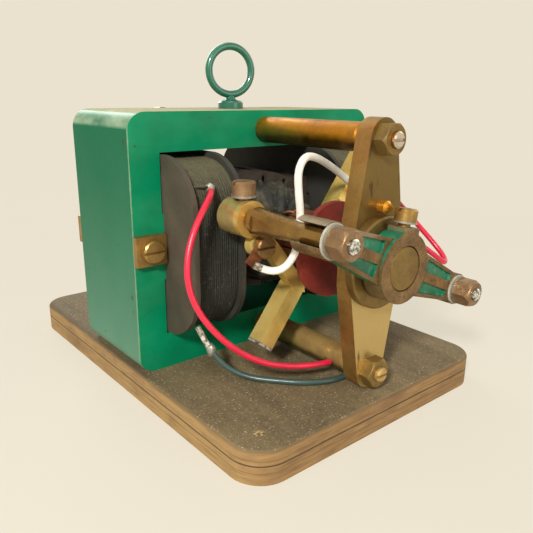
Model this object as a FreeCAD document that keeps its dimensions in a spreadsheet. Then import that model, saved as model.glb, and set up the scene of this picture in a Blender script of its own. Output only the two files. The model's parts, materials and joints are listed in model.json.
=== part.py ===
# Small two-pole open-yoke electric motor on a plywood base, with a swivelling brush rocker.
# Millimetres. +X to the right of someone facing the brush gear, +Y away from them along the
# shaft, +Z up. The origin is the centre of the board's underside.
import FreeCAD, Part
import math
import os
import Sketcher

doc = FreeCAD.newDocument("motor")

DIMENSIONS = {
    "board_width": 120, "board_length": 175, "board_thick": 12, "board_corner": 12,
    "board_edge": 1.2, "base_screw_pitch": 60, "base_screw_dia": 5, "base_head_dia": 8.4,
    "base_head_high": 3.4, "base_screw_grip": 8,
    "yoke_setback": 69, "yoke_width": 120, "yoke_height": 96.5, "yoke_depth": 46,
    "yoke_corner": 7, "window_width": 96, "window_height": 68.5, "window_corner": 1,
    "seat_height": 25, "seat_rise": 2,
    "eye_ring_dia": 16, "eye_wire": 3, "eye_turn": 13, "eye_collar_dia": 10.5, "eye_collar_high": 3.2,
    "eye_neck_dia": 4.6, "eye_neck_high": 2.6, "eye_shank_dia": 5, "eye_shank_long": 9,
    "air_gap": 0.6, "pole_high": 24, "pole_depth": 44, "shoe_angle": 50, "shoe_back": 25.1,
    "cheek_thick": 2, "coil_build": 21.5, "coil_round": 20, "coil_clear": 0.4,
    "winding_inset": 1.6, "wire_turns": 7, "wire_dia": 1.5, "coil_wide": 22.2,
    "strap_width": 11, "strap_thick": 2.6, "strap_reach": 12, "strap_screw_dia": 4,
    "strap_head_dia": 8.6, "strap_head_high": 2.6, "strap_screw_grip": 8, "slot_wide": 1,
    "slot_deep": 1.1, "pillar_dia": 10, "pillar_reach": 54, "pillar_rear_reach": 34,
    "pillar_inset": 7.4, "pillar_spigot": 8, "stud_dia": 5.4, "pillar_groove": 0.5,
    "bracket_thick": 6.5, "bracket_end": 6.8, "bracket_half": 12.5, "stud_past": 1.6,
    "nut_flats": 10, "nut_high": 4.6, "thread_clear": 0.1,
    "shaft_dia": 8, "bearing_clear": 0.05, "flange_dia": 32, "flange_thick": 3.6,
    "bearing_neck": 18, "neck_long": 4, "spigot_dia": 15.4, "spigot_long": 8.2,
    "cap_wall": 2.2, "shaft_past": 14, "shaft_end_dia": 7, "shaft_end_long": 13.4, "shaft_end_gap": 0.6,
    "oiler_dia": 4.4, "oiler_long": 3.6, "oiler_up": 19, "oiler_stem": 2.4,
    "core_dia": 48, "core_slots": 12, "slot_open": 3, "slot_down": 8,
    "winding_long": 15, "winding_dia": 43, "winding_hub": 26,
    "comm_dia": 24, "comm_long": 15, "comm_gap": 0.6, "comm_bars": 12, "comm_wall": 3.2,
    "comm_from_yoke": 22.5, "disc_dia": 35.4, "disc_thick": 2.4, "disc_gap": 1.2, "disc_hub": 14,
    "rocker_angle": 23, "arm_radius": 36.5, "hub_dia": 24, "hub_thick": 7.8, "rocker_bore_gap": 0.05,
    "rocker_gap": 0.5, "arm_root": 17.6, "arm_tip": 9.6, "arm_thick": 5.4, "arm_drop": 1.1, "panel_deep": 1.1,
    "panel_rim": 1.3, "rib_wide": 3.4, "panel_start": 13, "panel_end": 30,
    "eye_boss_dia": 11.6, "eye_boss_long": 12, "eye_taper": 0.9, "lug_angle": 104,
    "lug_wide": 8, "lug_rise": 1.5,
    "clamp_dia": 4, "clamp_head_dia": 7.4, "clamp_head_high": 4.2, "clamp_stand": 1.2,
    "clamp_washer_dia": 8, "clamp_washer_thick": 0.6,
    "spindle_thick": 9.6, "spindle_thin": 6.2, "journal_dia": 7, "journal_long": 12,
    "spindle_back": 34.6, "spindle_stud": 4.6, "washer_dia": 10.8, "mica_thick": 0.8,
    "steel_washer": 0.8, "spindle_nut_high": 6.2, "spindle_nut_flats": 8.8, "spindle_past": 1.1,
    "shoulder_long": 2.6, "barrel_dia": 12.6, "barrel_long": 11.4, "barrel_clear": 0.05,
    "holder_screw_dia": 4, "holder_head_dia": 8.2, "holder_head_high": 4.6,
    "holder_washer_dia": 8.6, "holder_washer_thick": 0.7, "holder_stand": 0.8,
    "tube_side": 6.8, "tube_wall": 0.8, "tube_start": 14.6, "tube_long": 29, "tube_cap": 1,
    "brush_angle": 14.5, "brush_clear": 0.06, "brush_long": 13, "brush_seat": 0.05,
    "bar_wide": 5.4, "bar_thick": 4.2, "bar_past": 1, "bar_meets": 17.5,
    "terminal_at": 10, "terminal_side": 3, "terminal_head_dia": 8, "terminal_head_high": 2.8, "terminal_dia": 3.4,
    "tag_thick": 0.8, "tag_wide": 5, "tag_long": 8, "tag_turn": 40,
    "spring_dia": 3.6, "spring_wire": 0.6, "spring_turns": 5,
    "lead_dia": 2.2, "sleeve_dia": 2.6,
}


class Size:
    """A number together with the sheet expression that gives it."""

    def __init__(self, value, text):
        self.value = float(value)
        self.text = text

    @staticmethod
    def of(other):
        return other if isinstance(other, Size) else Size(other, repr(float(other)))

    def __add__(self, other):
        other = Size.of(other)
        return Size(self.value + other.value, f"({self.text} + {other.text})")

    def __radd__(self, other):
        return Size.of(other) + self

    def __sub__(self, other):
        other = Size.of(other)
        return Size(self.value - other.value, f"({self.text} - {other.text})")

    def __rsub__(self, other):
        return Size.of(other) - self

    def __mul__(self, other):
        other = Size.of(other)
        return Size(self.value * other.value, f"({self.text} * {other.text})")

    def __rmul__(self, other):
        return Size.of(other) * self

    def __truediv__(self, other):
        other = Size.of(other)
        return Size(self.value / other.value, f"({self.text} / {other.text})")

    def __neg__(self):
        return Size(0, "0") - self


def cosine(angle):
    return Size(math.cos(math.radians(angle.value)), f"cos({angle.text})")


def sine(angle):
    return Size(math.sin(math.radians(angle.value)), f"sin({angle.text})")


def root(size):
    return Size(math.sqrt(size.value), f"sqrt({size.text})")


class Sheet:
    """Puts the driving dimensions in a spreadsheet and hands each out by name."""

    def __init__(self, table):
        self.cells = doc.addObject("Spreadsheet::Sheet", "Dims")
        self.sizes = {}
        for row, (name, value) in enumerate(table.items(), start=1):
            self.cells.set(f"A{row}", name)
            self.cells.set(f"B{row}", str(value))
            self.cells.setAlias(f"B{row}", name)
            self.sizes[name] = Size(value, f"Dims.{name}")
        doc.recompute()

    def __getattr__(self, name):
        return self.sizes[name]


d = Sheet(DIMENSIONS)
nodes = []

# Places that many pieces share
yoke_front = d.yoke_setback - d.board_length / 2
yoke_back = yoke_front + d.yoke_depth
yoke_mid = yoke_front + d.yoke_depth / 2
board_top = d.board_thick
axis_z = board_top + d.yoke_height / 2
pillar_top_z = board_top + d.yoke_height - d.pillar_inset
pillar_low_z = board_top + d.pillar_inset
bracket_back = yoke_front - d.pillar_reach
bracket_face = bracket_back - d.bracket_thick
rear_bracket_front = yoke_back + d.pillar_rear_reach
bore_dia = d.core_dia + 2 * d.air_gap
hub_back = bracket_face - d.flange_thick - d.rocker_gap
hub_front = hub_back - d.hub_thick
comm_back = yoke_front - d.comm_from_yoke
comm_front = comm_back - d.comm_long
comm_mid = comm_back - d.comm_long / 2
disc_back = comm_front - d.disc_gap
eye_front = hub_front + d.arm_drop
eye_back = eye_front + d.eye_boss_long


def bind(obj, path, size):
    obj.setExpression(path, Size.of(size).text)


def place(obj, x=0, y=0, z=0, turn=None, about=(0, 1, 0)):
    """Moves an object to a bound place, after a bound turn in degrees about an axis."""
    if turn is not None:
        turn = Size.of(turn)
        axis = FreeCAD.Vector(*about)
        obj.Placement = FreeCAD.Placement(FreeCAD.Vector(), FreeCAD.Rotation(axis, turn.value))
        bind(obj, "Placement.Rotation.Angle", turn)
    for name, size in zip("xyz", (x, y, z)):
        bind(obj, f"Placement.Base.{name}", size)
    return obj


def keep(obj, label):
    """Names a finished sub-part."""
    obj.Label = label
    nodes.append(obj)
    return obj


def new_body(name):
    return doc.addObject("PartDesign::Body", name + "_body")


def plane_of(body, role):
    return next(f for f in body.Origin.OriginFeatures if f.Role == role)


class Profile:
    """A closed sketch outline whose every corner is pinned to bound coordinates."""

    def __init__(self, body, role, lift=0):
        self.sketch = body.newObject("Sketcher::SketchObject", body.Name + "_sketch")
        self.sketch.AttachmentSupport = [(plane_of(body, role), "")]
        self.sketch.MapMode = "FlatFace"
        if Size.of(lift).value or isinstance(lift, Size):
            bind(self.sketch, "AttachmentOffset.Base.z", lift)

    def pin(self, geo, end, x, y):
        for kind, size in (("DistanceX", x), ("DistanceY", y)):
            size = Size.of(size)
            rule = Sketcher.Constraint(kind, -1, 1, geo, end, size.value)
            index = self.sketch.addConstraint(rule)
            if "Dims" in size.text:
                self.sketch.setExpression(f"Constraints[{index}]", size.text)

    def outline(self, points):
        """points: (x, y) for a straight run to it, or (x, y, radius, side) for an arc to it."""
        count = len(points)
        first = self.sketch.GeometryCount
        spots = [FreeCAD.Vector(Size.of(p[0]).value, Size.of(p[1]).value, 0) for p in points]
        starts = []
        for i, point in enumerate(points):
            a, b = spots[i - 1], spots[i]
            if len(point) == 2:
                self.sketch.addGeometry(Part.LineSegment(a, b), False)
                starts.append((1, 2))
                continue
            radius, side = Size.of(point[2]), point[3]
            chord = b - a
            half = chord.Length / 2
            rise = math.sqrt(max(radius.value ** 2 - half ** 2, 0))
            normal = FreeCAD.Vector(-chord.y, chord.x, 0).normalize()
            centre = (a + b) * 0.5 + normal * rise * side
            swing = [math.atan2(p.y - centre.y, p.x - centre.x) for p in (a, b)]
            circle = Part.Circle(centre, FreeCAD.Vector(0, 0, 1), radius.value)
            if side > 0:
                self.sketch.addGeometry(Part.ArcOfCircle(circle, swing[0], swing[1]), False)
                starts.append((1, 2))
            else:
                self.sketch.addGeometry(Part.ArcOfCircle(circle, swing[1], swing[0]), False)
                starts.append((2, 1))
        for i in range(count):
            geo, after = first + i, first + (i + 1) % count
            rule = Sketcher.Constraint("Coincident", geo, starts[i][1], after, starts[(i + 1) % count][0])
            self.sketch.addConstraint(rule)
        for i, point in enumerate(points):
            self.pin(first + i, starts[i][1], point[0], point[1])
            if len(point) == 4:
                radius = Size.of(point[2])
                index = self.sketch.addConstraint(Sketcher.Constraint("Radius", first + i, radius.value))
                self.sketch.setExpression(f"Constraints[{index}]", radius.text)
        return self

    def box(self, x0, y0, x1, y1):
        return self.outline([(x0, y0), (x1, y0), (x1, y1), (x0, y1)])

    def rounded(self, half_x, half_y, r, cx=0, cy=0):
        """A rectangle with quarter-round corners, run anticlockwise."""
        hx, hy, r = Size.of(half_x), Size.of(half_y), Size.of(r)
        return self.outline([
            (cx + hx - r, cy - hy), (cx + hx, cy - hy + r, r, 1),
            (cx + hx, cy + hy - r), (cx + hx - r, cy + hy, r, 1),
            (cx - hx + r, cy + hy), (cx - hx, cy + hy - r, r, 1),
            (cx - hx, cy - hy + r), (cx - hx + r, cy - hy, r, 1)])

    def circle(self, x, y, dia):
        radius = Size.of(dia) / 2
        spot = FreeCAD.Vector(Size.of(x).value, Size.of(y).value, 0)
        geo = self.sketch.addGeometry(Part.Circle(spot, FreeCAD.Vector(0, 0, 1), radius.value), False)
        index = self.sketch.addConstraint(Sketcher.Constraint("Radius", geo, radius.value))
        self.sketch.setExpression(f"Constraints[{index}]", radius.text)
        self.pin(geo, 3, x, y)
        return self


def pad(body, profile, length, back=False, both=False):
    feature = body.newObject("PartDesign::Pad", body.Name + "_pad")
    feature.Profile = profile.sketch
    bind(feature, "Length", length)
    feature.Reversed = back
    feature.Midplane = both
    doc.recompute()
    return feature


def pocket(body, profile, length=None, back=False, both=False):
    """Cuts a profile out of the body, and stops if nothing was cut."""
    before = body.Shape.Volume
    feature = body.newObject("PartDesign::Pocket", body.Name + "_pocket")
    feature.Profile = profile.sketch
    if length is None:
        feature.Type = "ThroughAll"
    else:
        bind(feature, "Length", length)
    feature.Reversed = back
    feature.Midplane = both
    doc.recompute()
    if not body.Shape.Volume < before - 1e-6:
        raise RuntimeError(f"{feature.Name} cut nothing")
    return feature


def turned(name, points, groove=()):
    """A body of revolution about its own Z axis from (radius, height) corners."""
    body = new_body(name)
    profile = Profile(body, "XZ_Plane").outline(points)
    feature = body.newObject("PartDesign::Revolution", name + "_turned")
    feature.Profile = profile.sketch
    feature.ReferenceAxis = (plane_of(body, "Z_Axis"), [""])
    feature.Angle = 360
    doc.recompute()
    return body


def rounded_edges(body, chosen, radius):
    """Fillets the edges of the body's tip that the test picks out."""
    tip = body.Tip
    names = [f"Edge{i + 1}" for i, edge in enumerate(tip.Shape.Edges) if chosen(edge)]
    if not names:
        raise RuntimeError(f"{body.Name}: no edge to round")
    feature = body.newObject("PartDesign::Fillet", body.Name + "_round")
    feature.Base = (tip, names)
    bind(feature, "Radius", radius)
    doc.recompute()
    return feature


def combine(kind, name, *parts):
    """A boolean of finished objects: Fuse, Cut or Common."""
    if kind == "Cut":
        result = doc.addObject("Part::Cut", name)
        result.Base, result.Tool = parts
    else:
        result = doc.addObject("Part::Multi" + kind, name)
        result.Shapes = list(parts)
    doc.recompute()
    return result


def cylinder(name, dia, length, x=0, y=0, z=0, along="Z", turn=None):
    """A plain round bar from its end at (x, y, z), along an axis."""
    obj = doc.addObject("Part::Cylinder", name)
    bind(obj, "Radius", Size.of(dia) / 2)
    bind(obj, "Height", length)
    spin = {"Z": ((0, 0, 1), 0), "Y": ((1, 0, 0), -90), "-Y": ((1, 0, 0), 90), "X": ((0, 1, 0), 90)}[along]
    return place(obj, x, y, z, spin[1], spin[0]) if spin[1] else place(obj, x, y, z)


def block(name, x0, y0, z0, dx, dy, dz):
    obj = doc.addObject("Part::Box", name)
    for prop, size in zip(("Length", "Width", "Height"), (dx, dy, dz)):
        bind(obj, prop, size)
    return place(obj, x0, y0, z0)


# Base board

def make_board():
    body = new_body("base_board")
    pad(body, Profile(body, "XY_Plane").rounded(d.board_width / 2, d.board_length / 2, d.board_corner),
        d.board_thick)
    half = d.base_screw_pitch / 2
    holes = Profile(body, "XY_Plane")
    for x in (-half, half):
        holes.circle(x, yoke_mid, d.base_screw_dia + 2 * d.thread_clear)
    pocket(body, holes, back=True)
    heads = Profile(body, "XY_Plane")
    for x in (-half, half):
        heads.circle(x, yoke_mid, d.base_head_dia + 0.6)
    pocket(body, heads, d.base_head_high + 0.4, back=True)
    top = d.board_thick.value
    rounded_edges(body, lambda e: abs(e.BoundBox.ZMin - top) < 1e-6 and e.BoundBox.DiagonalLength > 15,
                  d.board_edge)
    keep(body, "base_board")


def screw(name, shank_dia, shank_long, head_dia, head_high, round_top=0.5):
    """A cheese-head screw along +Z with the head's underside at the origin."""
    r, hr = Size.of(shank_dia) / 2, Size.of(head_dia) / 2
    body = turned(name, [(0, -shank_long), (r, -shank_long), (r, 0), (hr, 0),
                         (hr, head_high - round_top), (hr - round_top, head_high), (0, head_high)])
    slot = Profile(body, "XY_Plane", lift=head_high)
    slot.box(-hr - 1, -d.slot_wide / 2, hr + 1, d.slot_wide / 2)
    pocket(body, slot, d.slot_deep)
    return body


def make_base_screws():
    half = d.base_screw_pitch / 2
    screws = []
    for i, x in enumerate((-half, half)):
        long = d.board_thick - d.base_head_high - 0.4 + d.base_screw_grip
        body = screw(f"base_screw_{i}", d.base_screw_dia, long, d.base_head_dia, d.base_head_high)
        place(body, x, yoke_mid, d.base_head_high + 0.4, 180, (1, 0, 0))
        screws.append(body)
    keep(compound("base_screws_set", screws), "base_screws")


def compound(name, parts):
    group = doc.addObject("Part::Compound", name)
    group.Links = parts
    doc.recompute()
    return group


# Yoke, eyebolt and poles

def make_yoke():
    body = new_body("yoke")
    outer = Profile(body, "XZ_Plane").rounded(d.yoke_width / 2, d.yoke_height / 2, d.yoke_corner)
    pad(body, outer, d.yoke_depth, both=True)
    hw, hh, rise, seat = d.window_width / 2, d.window_height / 2, d.seat_rise, d.seat_height / 2
    window = Profile(body, "XZ_Plane")
    window.outline([(-hw, -hh), (hw, -hh), (hw, -seat), (hw - rise, -seat), (hw - rise, seat), (hw, seat),
                    (hw, hh), (-hw, hh), (-hw, seat), (-hw + rise, seat), (-hw + rise, -seat), (-hw, -seat)])
    pocket(body, window, both=True)
    stud = d.stud_dia + 2 * d.thread_clear
    holes = Profile(body, "XZ_Plane", lift=d.yoke_depth / 2)
    up = d.yoke_height / 2 - d.pillar_inset
    holes.circle(0, up, stud)
    holes.circle(0, -up, stud)
    pocket(body, holes, d.pillar_spigot + 0.5)
    rear = Profile(body, "XZ_Plane", lift=-d.yoke_depth / 2)
    rear.circle(0, up, stud)
    rear.circle(0, -up, stud)
    pocket(body, rear, d.pillar_spigot + 0.5, back=True)
    for lift, back in ((d.yoke_depth / 2, False), (-d.yoke_depth / 2, True)):
        strap = Profile(body, "XZ_Plane", lift=lift)
        for side in (-1, 1):
            strap.circle(side * strap_screw_x, 0, d.strap_screw_dia + 2 * d.thread_clear)
        pocket(body, strap, d.strap_screw_grip + 0.5, back=back)
    top = Profile(body, "XY_Plane", lift=d.yoke_height / 2)
    top.circle(0, 0, d.eye_shank_dia + 2 * d.thread_clear)
    pocket(body, top, d.eye_shank_long + 0.5)
    below = Profile(body, "XY_Plane", lift=-d.yoke_height / 2)
    for side in (-1, 1):
        below.circle(side * d.base_screw_pitch / 2, 0, d.base_screw_dia + 2 * d.thread_clear)
    pocket(body, below, d.base_screw_grip + 0.5, back=True)
    place(body, 0, yoke_mid, axis_z)
    keep(body, "yoke")


strap_screw_x = d.yoke_width / 2 - d.strap_reach / 2


def make_eyebolt():
    top = board_top + d.yoke_height
    ring_r = (d.eye_ring_dia + d.eye_wire) / 2
    centre = top + d.eye_collar_high + d.eye_neck_high + ring_r
    ring = doc.addObject("Part::Torus", "eye_ring")
    bind(ring, "Radius1", ring_r)
    bind(ring, "Radius2", d.eye_wire / 2)
    place(ring, 0, yoke_mid, centre, 90, (cosine(d.eye_turn).value, -sine(d.eye_turn).value, 0))
    r, c, n = d.eye_shank_dia / 2, d.eye_collar_dia / 2, d.eye_neck_dia / 2
    stem = turned("eye_stem", [(0, -d.eye_shank_long), (r, -d.eye_shank_long), (r, 0), (c, 0),
                               (c, d.eye_collar_high - 0.8), (c - 0.8, d.eye_collar_high),
                               (n, d.eye_collar_high + 0.6), (d.eye_wire * 0.4, d.eye_collar_high + d.eye_neck_high),
                               (0, d.eye_collar_high + d.eye_neck_high)])
    place(stem, 0, yoke_mid, top)
    keep(combine("Fuse", "eyebolt_fused", ring, stem), "eyebolt")


def make_pole(side, name):
    """Neck and shoe, hollowed to the armature's bore; side is -1 on the left, 1 on the right."""
    body = new_body(name)
    r = bore_dia / 2
    neck, back = d.pole_high / 2, d.shoe_back
    root_x = d.window_width / 2 - d.seat_rise
    tip_x, tip_z = r * cosine(d.shoe_angle), r * sine(d.shoe_angle)
    rim = tip_z + 1.2
    profile = Profile(body, "XZ_Plane").outline([
        (root_x, -neck), (root_x, neck), (back, neck), (back, rim), (tip_x + 1.2, rim), (tip_x, tip_z),
        (tip_x, -tip_z, r, -1), (tip_x + 1.2, -rim), (back, -rim), (back, -neck)])
    pad(body, profile, d.pole_depth, both=True)
    place(body, 0, yoke_mid, axis_z, 0 if side > 0 else 180, (0, 0, 1))
    keep(body, name)


# Field coils

coil_half_y = d.pole_depth / 2 + d.coil_build
coil_half_z = d.pole_high / 2 + d.coil_build
cheek_outer_x = d.window_width / 2 - d.coil_clear
cheek_inner_x = cheek_outer_x - d.coil_wide


def ring_plate(name, x0, thick, inset, round_by):
    """A rounded plate round the pole, standing across X, from x0 towards +X."""
    body = new_body(name)
    profile = Profile(body, "YZ_Plane").rounded(coil_half_y - inset, coil_half_z - inset, round_by)
    profile.rounded(d.yoke_depth / 2 + d.coil_clear, seat_clear_z, 1)
    pad(body, profile, thick)
    return body


seat_clear_z = d.seat_height / 2 + d.coil_clear


def make_coil(side, word):
    turn = 0 if side > 0 else 180
    for end, x0 in (("outer", cheek_outer_x - d.cheek_thick), ("inner", cheek_inner_x)):
        body = ring_plate(f"cheek_{word}_{end}", x0, d.cheek_thick, Size.of(0), d.coil_round)
        shift = x0 if side > 0 else -x0
        place(body, shift, yoke_mid, axis_z, turn, (0, 0, 1))
        keep(body, f"coil_cheek_{word}_{end}")
    core_inset = d.winding_inset + d.wire_dia + 0.02
    core_x = cheek_inner_x + d.cheek_thick
    wide = d.coil_wide - 2 * d.cheek_thick
    body = ring_plate(f"winding_{word}", core_x, wide, core_inset, d.coil_round - core_inset)
    place(body, core_x if side > 0 else -core_x, yoke_mid, axis_z, turn, (0, 0, 1))
    keep(body, f"field_winding_{word}")
    make_turns(side, word, core_x, wide)


def biarc(p0, t0, p1, t1):
    """Two arcs joined smoothly between two points with given unit directions."""
    v = p1 - p0
    t = t0 + t1
    a = 2 * (1 - t0.dot(t1))
    b = 2 * v.dot(t)
    c = -v.dot(v)
    reach = -c / b if abs(a) < 1e-9 else (-b + math.sqrt(b * b - 4 * a * c)) / (2 * a)
    q0, q1 = p0 + t0 * reach, p1 - t1 * reach
    joint = (q0 + q1) * 0.5

    def arc(start, towards, corner, end):
        chord = end - start
        leg = (corner - start).Length
        bis = (start - corner).normalize() + (end - corner).normalize()
        half = math.acos(max(-1, min(1, (start - corner).normalize().dot((end - corner).normalize())))) / 2
        radius = leg * math.tan(half)
        centre = corner + bis.normalize() * (leg / math.cos(half))
        mid = centre + (corner - centre).normalize() * radius
        return Part.Arc(start, mid, end).toShape()

    return [arc(p0, t0, q0, joint), arc(joint, t1, q1, p1)]


def make_turns(side, word, core_x, wide):
    """The outermost layer: one unbroken wire wound round the coil from cheek to cheek."""
    wire_r = d.wire_dia.value / 2
    hy = coil_half_y.value - d.winding_inset.value - wire_r
    hz = coil_half_z.value - d.winding_inset.value - wire_r
    r = d.coil_round.value - d.winding_inset.value - wire_r
    turns = int(d.wire_turns.value)
    margin = wire_r + 0.3
    span = wide.value - 2 * margin
    sy, sz = 2 * (hy - r), 2 * (hz - r)
    corner = math.pi * r / 2
    length = 2 * sy + 2 * sz + 4 * corner
    climb = span / (turns * length)
    slope = math.sqrt(1 + climb * climb)
    start_x = core_x.value + margin
    edges = []
    travelled = 0.0
    y, z, heading = -(hy - r), -hz, 0.0

    def spot(yy, zz, along):
        x = start_x + climb * along
        return FreeCAD.Vector(side * x, yoke_mid.value + yy, axis_z.value + zz)

    def aim(angle):
        return FreeCAD.Vector(side * climb, math.cos(angle), math.sin(angle)) * (1 / slope)

    for turn in range(turns):
        for run in (sy, sz, sy, sz):
            ny, nz = y + run * math.cos(heading), z + run * math.sin(heading)
            edges.append(Part.LineSegment(spot(y, z, travelled), spot(ny, nz, travelled + run)).toShape())
            travelled += run
            cy, cz = ny - r * math.sin(heading), nz + r * math.cos(heading)
            after = heading + math.pi / 2
            ey, ez = cy + r * math.sin(after), cz - r * math.cos(after)
            edges += biarc(spot(ny, nz, travelled), aim(heading), spot(ey, ez, travelled + corner), aim(after))
            travelled += corner
            y, z, heading = ey, ez, after
    path = Part.Wire(edges)
    section = Part.Wire([Part.Circle(edges[0].Vertexes[0].Point, aim(0), wire_r).toShape()])
    shell = path.makePipeShell([section], True, False)
    holder = doc.addObject("Part::Feature", f"turns_{word}_tube")
    holder.Shape = shell
    pitch = span / turns
    print(f"field turns {word}: pitch {pitch:.2f}, least gap {pitch / slope - 2 * wire_r:.2f} mm,"
          f" volume {shell.Volume:.1f} for {math.pi * wire_r ** 2 * length * turns * slope:.1f}")
    keep(holder, f"field_turns_{word}")


def make_straps():
    """Brass straps across the yoke's faces, whose inner ends trap the poles."""
    screws = []
    for face, back in (("front", False), ("rear", True)):
        for side, word in ((-1, "left"), (1, "right")):
            body = new_body(f"strap_{face}_{word}")
            reach = d.strap_reach
            outline = Profile(body, "XZ_Plane").box(-reach / 2, -d.strap_width / 2, reach / 2, d.strap_width / 2)
            outline.circle(0, 0, d.strap_screw_dia + 2 * d.thread_clear)
            pad(body, outline, d.strap_thick, back=back)
            y = yoke_back if back else yoke_front
            centre = side * (d.yoke_width / 2 - reach / 2)
            place(body, centre, y, axis_z)
            keep(body, f"pole_strap_{face}_{word}")
            bolt = screw(f"strap_screw_{face}_{word}", d.strap_screw_dia,
                         d.strap_thick + d.strap_screw_grip, d.strap_head_dia, d.strap_head_high)
            head_y = y + d.strap_thick if back else y - d.strap_thick
            place(bolt, side * strap_screw_x, head_y, axis_z, -90 if back else 90, (1, 0, 0))
            screws.append(bolt)
    keep(compound("strap_screws_set", screws), "strap_screws")


# Pillars, nuts and end brackets

def make_pillar(name, front, top):
    reach = d.pillar_reach if front else d.pillar_rear_reach
    r, stud = d.pillar_dia / 2, d.stud_dia / 2
    end = reach + d.bracket_thick + d.nut_high + d.stud_past
    groove = reach - 2.6
    body = turned(name, [
        (0, -d.pillar_spigot), (stud, -d.pillar_spigot), (stud, 0), (r, 0), (r, groove),
        (r - d.pillar_groove, groove + 0.5), (r, groove + 1), (r, reach), (stud, reach),
        (stud, end - 0.6), (stud - 0.6, end), (0, end)])
    slot = Profile(body, "XY_Plane", lift=end)
    slot.box(-d.stud_dia, -d.slot_wide / 2, d.stud_dia, d.slot_wide / 2)
    pocket(body, slot, d.slot_deep)
    z = pillar_top_z if top else pillar_low_z
    place(body, 0, yoke_front if front else yoke_back, z, 90 if front else -90, (1, 0, 0))
    keep(body, name)


def hex_nut(name, flats, high, bore):
    """A nut on +Z with its corners chamfered by a cone."""
    flats, high = Size.of(flats), Size.of(high)
    body = new_body(name)
    sketch = Profile(body, "XY_Plane")
    corner = flats / math.sqrt(3)
    ring = [(corner * math.cos(math.radians(60 * i)), corner * math.sin(math.radians(60 * i))) for i in range(6)]
    sketch.outline(ring)
    sketch.circle(0, 0, bore)
    pad(body, sketch, high)
    round_off = turned(name + "_cone", [(0, 0), (corner, 0), (corner, high * 0.75),
                                        (corner * 0.84, high), (0, high)])
    return combine("Common", name + "_nut", body, round_off)


def make_pillar_nuts():
    nuts = []
    for front in (True, False):
        for top in (True, False):
            name = f"pillar_nut_{'front' if front else 'rear'}_{'top' if top else 'low'}"
            nut = hex_nut(name, d.nut_flats, d.nut_high, d.stud_dia + 2 * d.thread_clear)
            y = bracket_face if front else rear_bracket_front + d.bracket_thick
            place(nut, 0, y, pillar_top_z if top else pillar_low_z, 90 if front else -90, (1, 0, 0))
            nuts.append(nut)
    keep(compound("pillar_nuts_set", nuts), "pillar_nuts")


def make_bracket(name, y_back_face):
    """A flat brass strap, widest at the bearing, with a round end over each pillar."""
    body = new_body(name)
    up = d.yoke_height / 2 - d.pillar_inset
    r, half = d.bracket_end, d.bracket_half
    lean = root((half - r) * (half - r) + up * up)
    sx, sz = r * up / lean, r * (half - r) / lean
    profile = Profile(body, "XZ_Plane").outline([
        (sx, -up - sz, r, 1), (half, -8), (half, 8), (sx, up + sz), (-sx, up + sz, r, 1),
        (-half, 8), (-half, -8), (-sx, -up - sz)])
    for z in (up, -up):
        profile.circle(0, z, d.stud_dia + 2 * d.thread_clear)
    profile.circle(0, 0, d.bearing_neck + 0.02)
    pad(body, profile, d.bracket_thick)
    place(body, 0, y_back_face, axis_z)
    keep(body, name)


def make_bearings():
    shaft = d.shaft_dia / 2 + d.bearing_clear
    neck, flange, spigot = d.bearing_neck / 2, d.flange_dia / 2, d.spigot_dia / 2
    thick = d.bracket_thick
    nose = thick + d.flange_thick + d.spigot_long
    front = turned("front_bearing", [
        (shaft, -d.neck_long), (neck, -d.neck_long), (neck, thick), (flange, thick),
        (flange, thick + d.flange_thick - 0.6), (flange - 0.6, thick + d.flange_thick),
        (spigot, thick + d.flange_thick), (spigot, nose - 0.5), (spigot - 0.5, nose), (0, nose),
        (0, nose - d.cap_wall), (shaft, nose - d.cap_wall)])
    place(front, 0, bracket_back, axis_z, 90, (1, 0, 0))
    keep(front, "front_bearing")
    rear = turned("rear_bearing", [
        (shaft, -d.neck_long), (neck, -d.neck_long), (neck, thick), (flange * 0.75, thick),
        (flange * 0.75, thick + d.flange_thick - 0.6), (flange * 0.75 - 0.6, thick + d.flange_thick),
        (shaft, thick + d.flange_thick)])
    place(rear, 0, rear_bracket_front, axis_z, -90, (1, 0, 0))
    keep(rear, "rear_bearing")


def make_oiler():
    r, stem = d.oiler_dia / 2, d.oiler_stem / 2
    body = turned("oiler", [(0, -0.01), (r, -0.01), (r, d.oiler_long - 0.8), (r - 0.8, d.oiler_long),
                            (stem, d.oiler_long), (stem, d.oiler_long + 0.6), (0, d.oiler_long + 0.6)])
    place(body, 0, bracket_face - 0.01, axis_z + d.oiler_up, 90, (1, 0, 0))
    keep(body, "oil_plug")


# Armature

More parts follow.
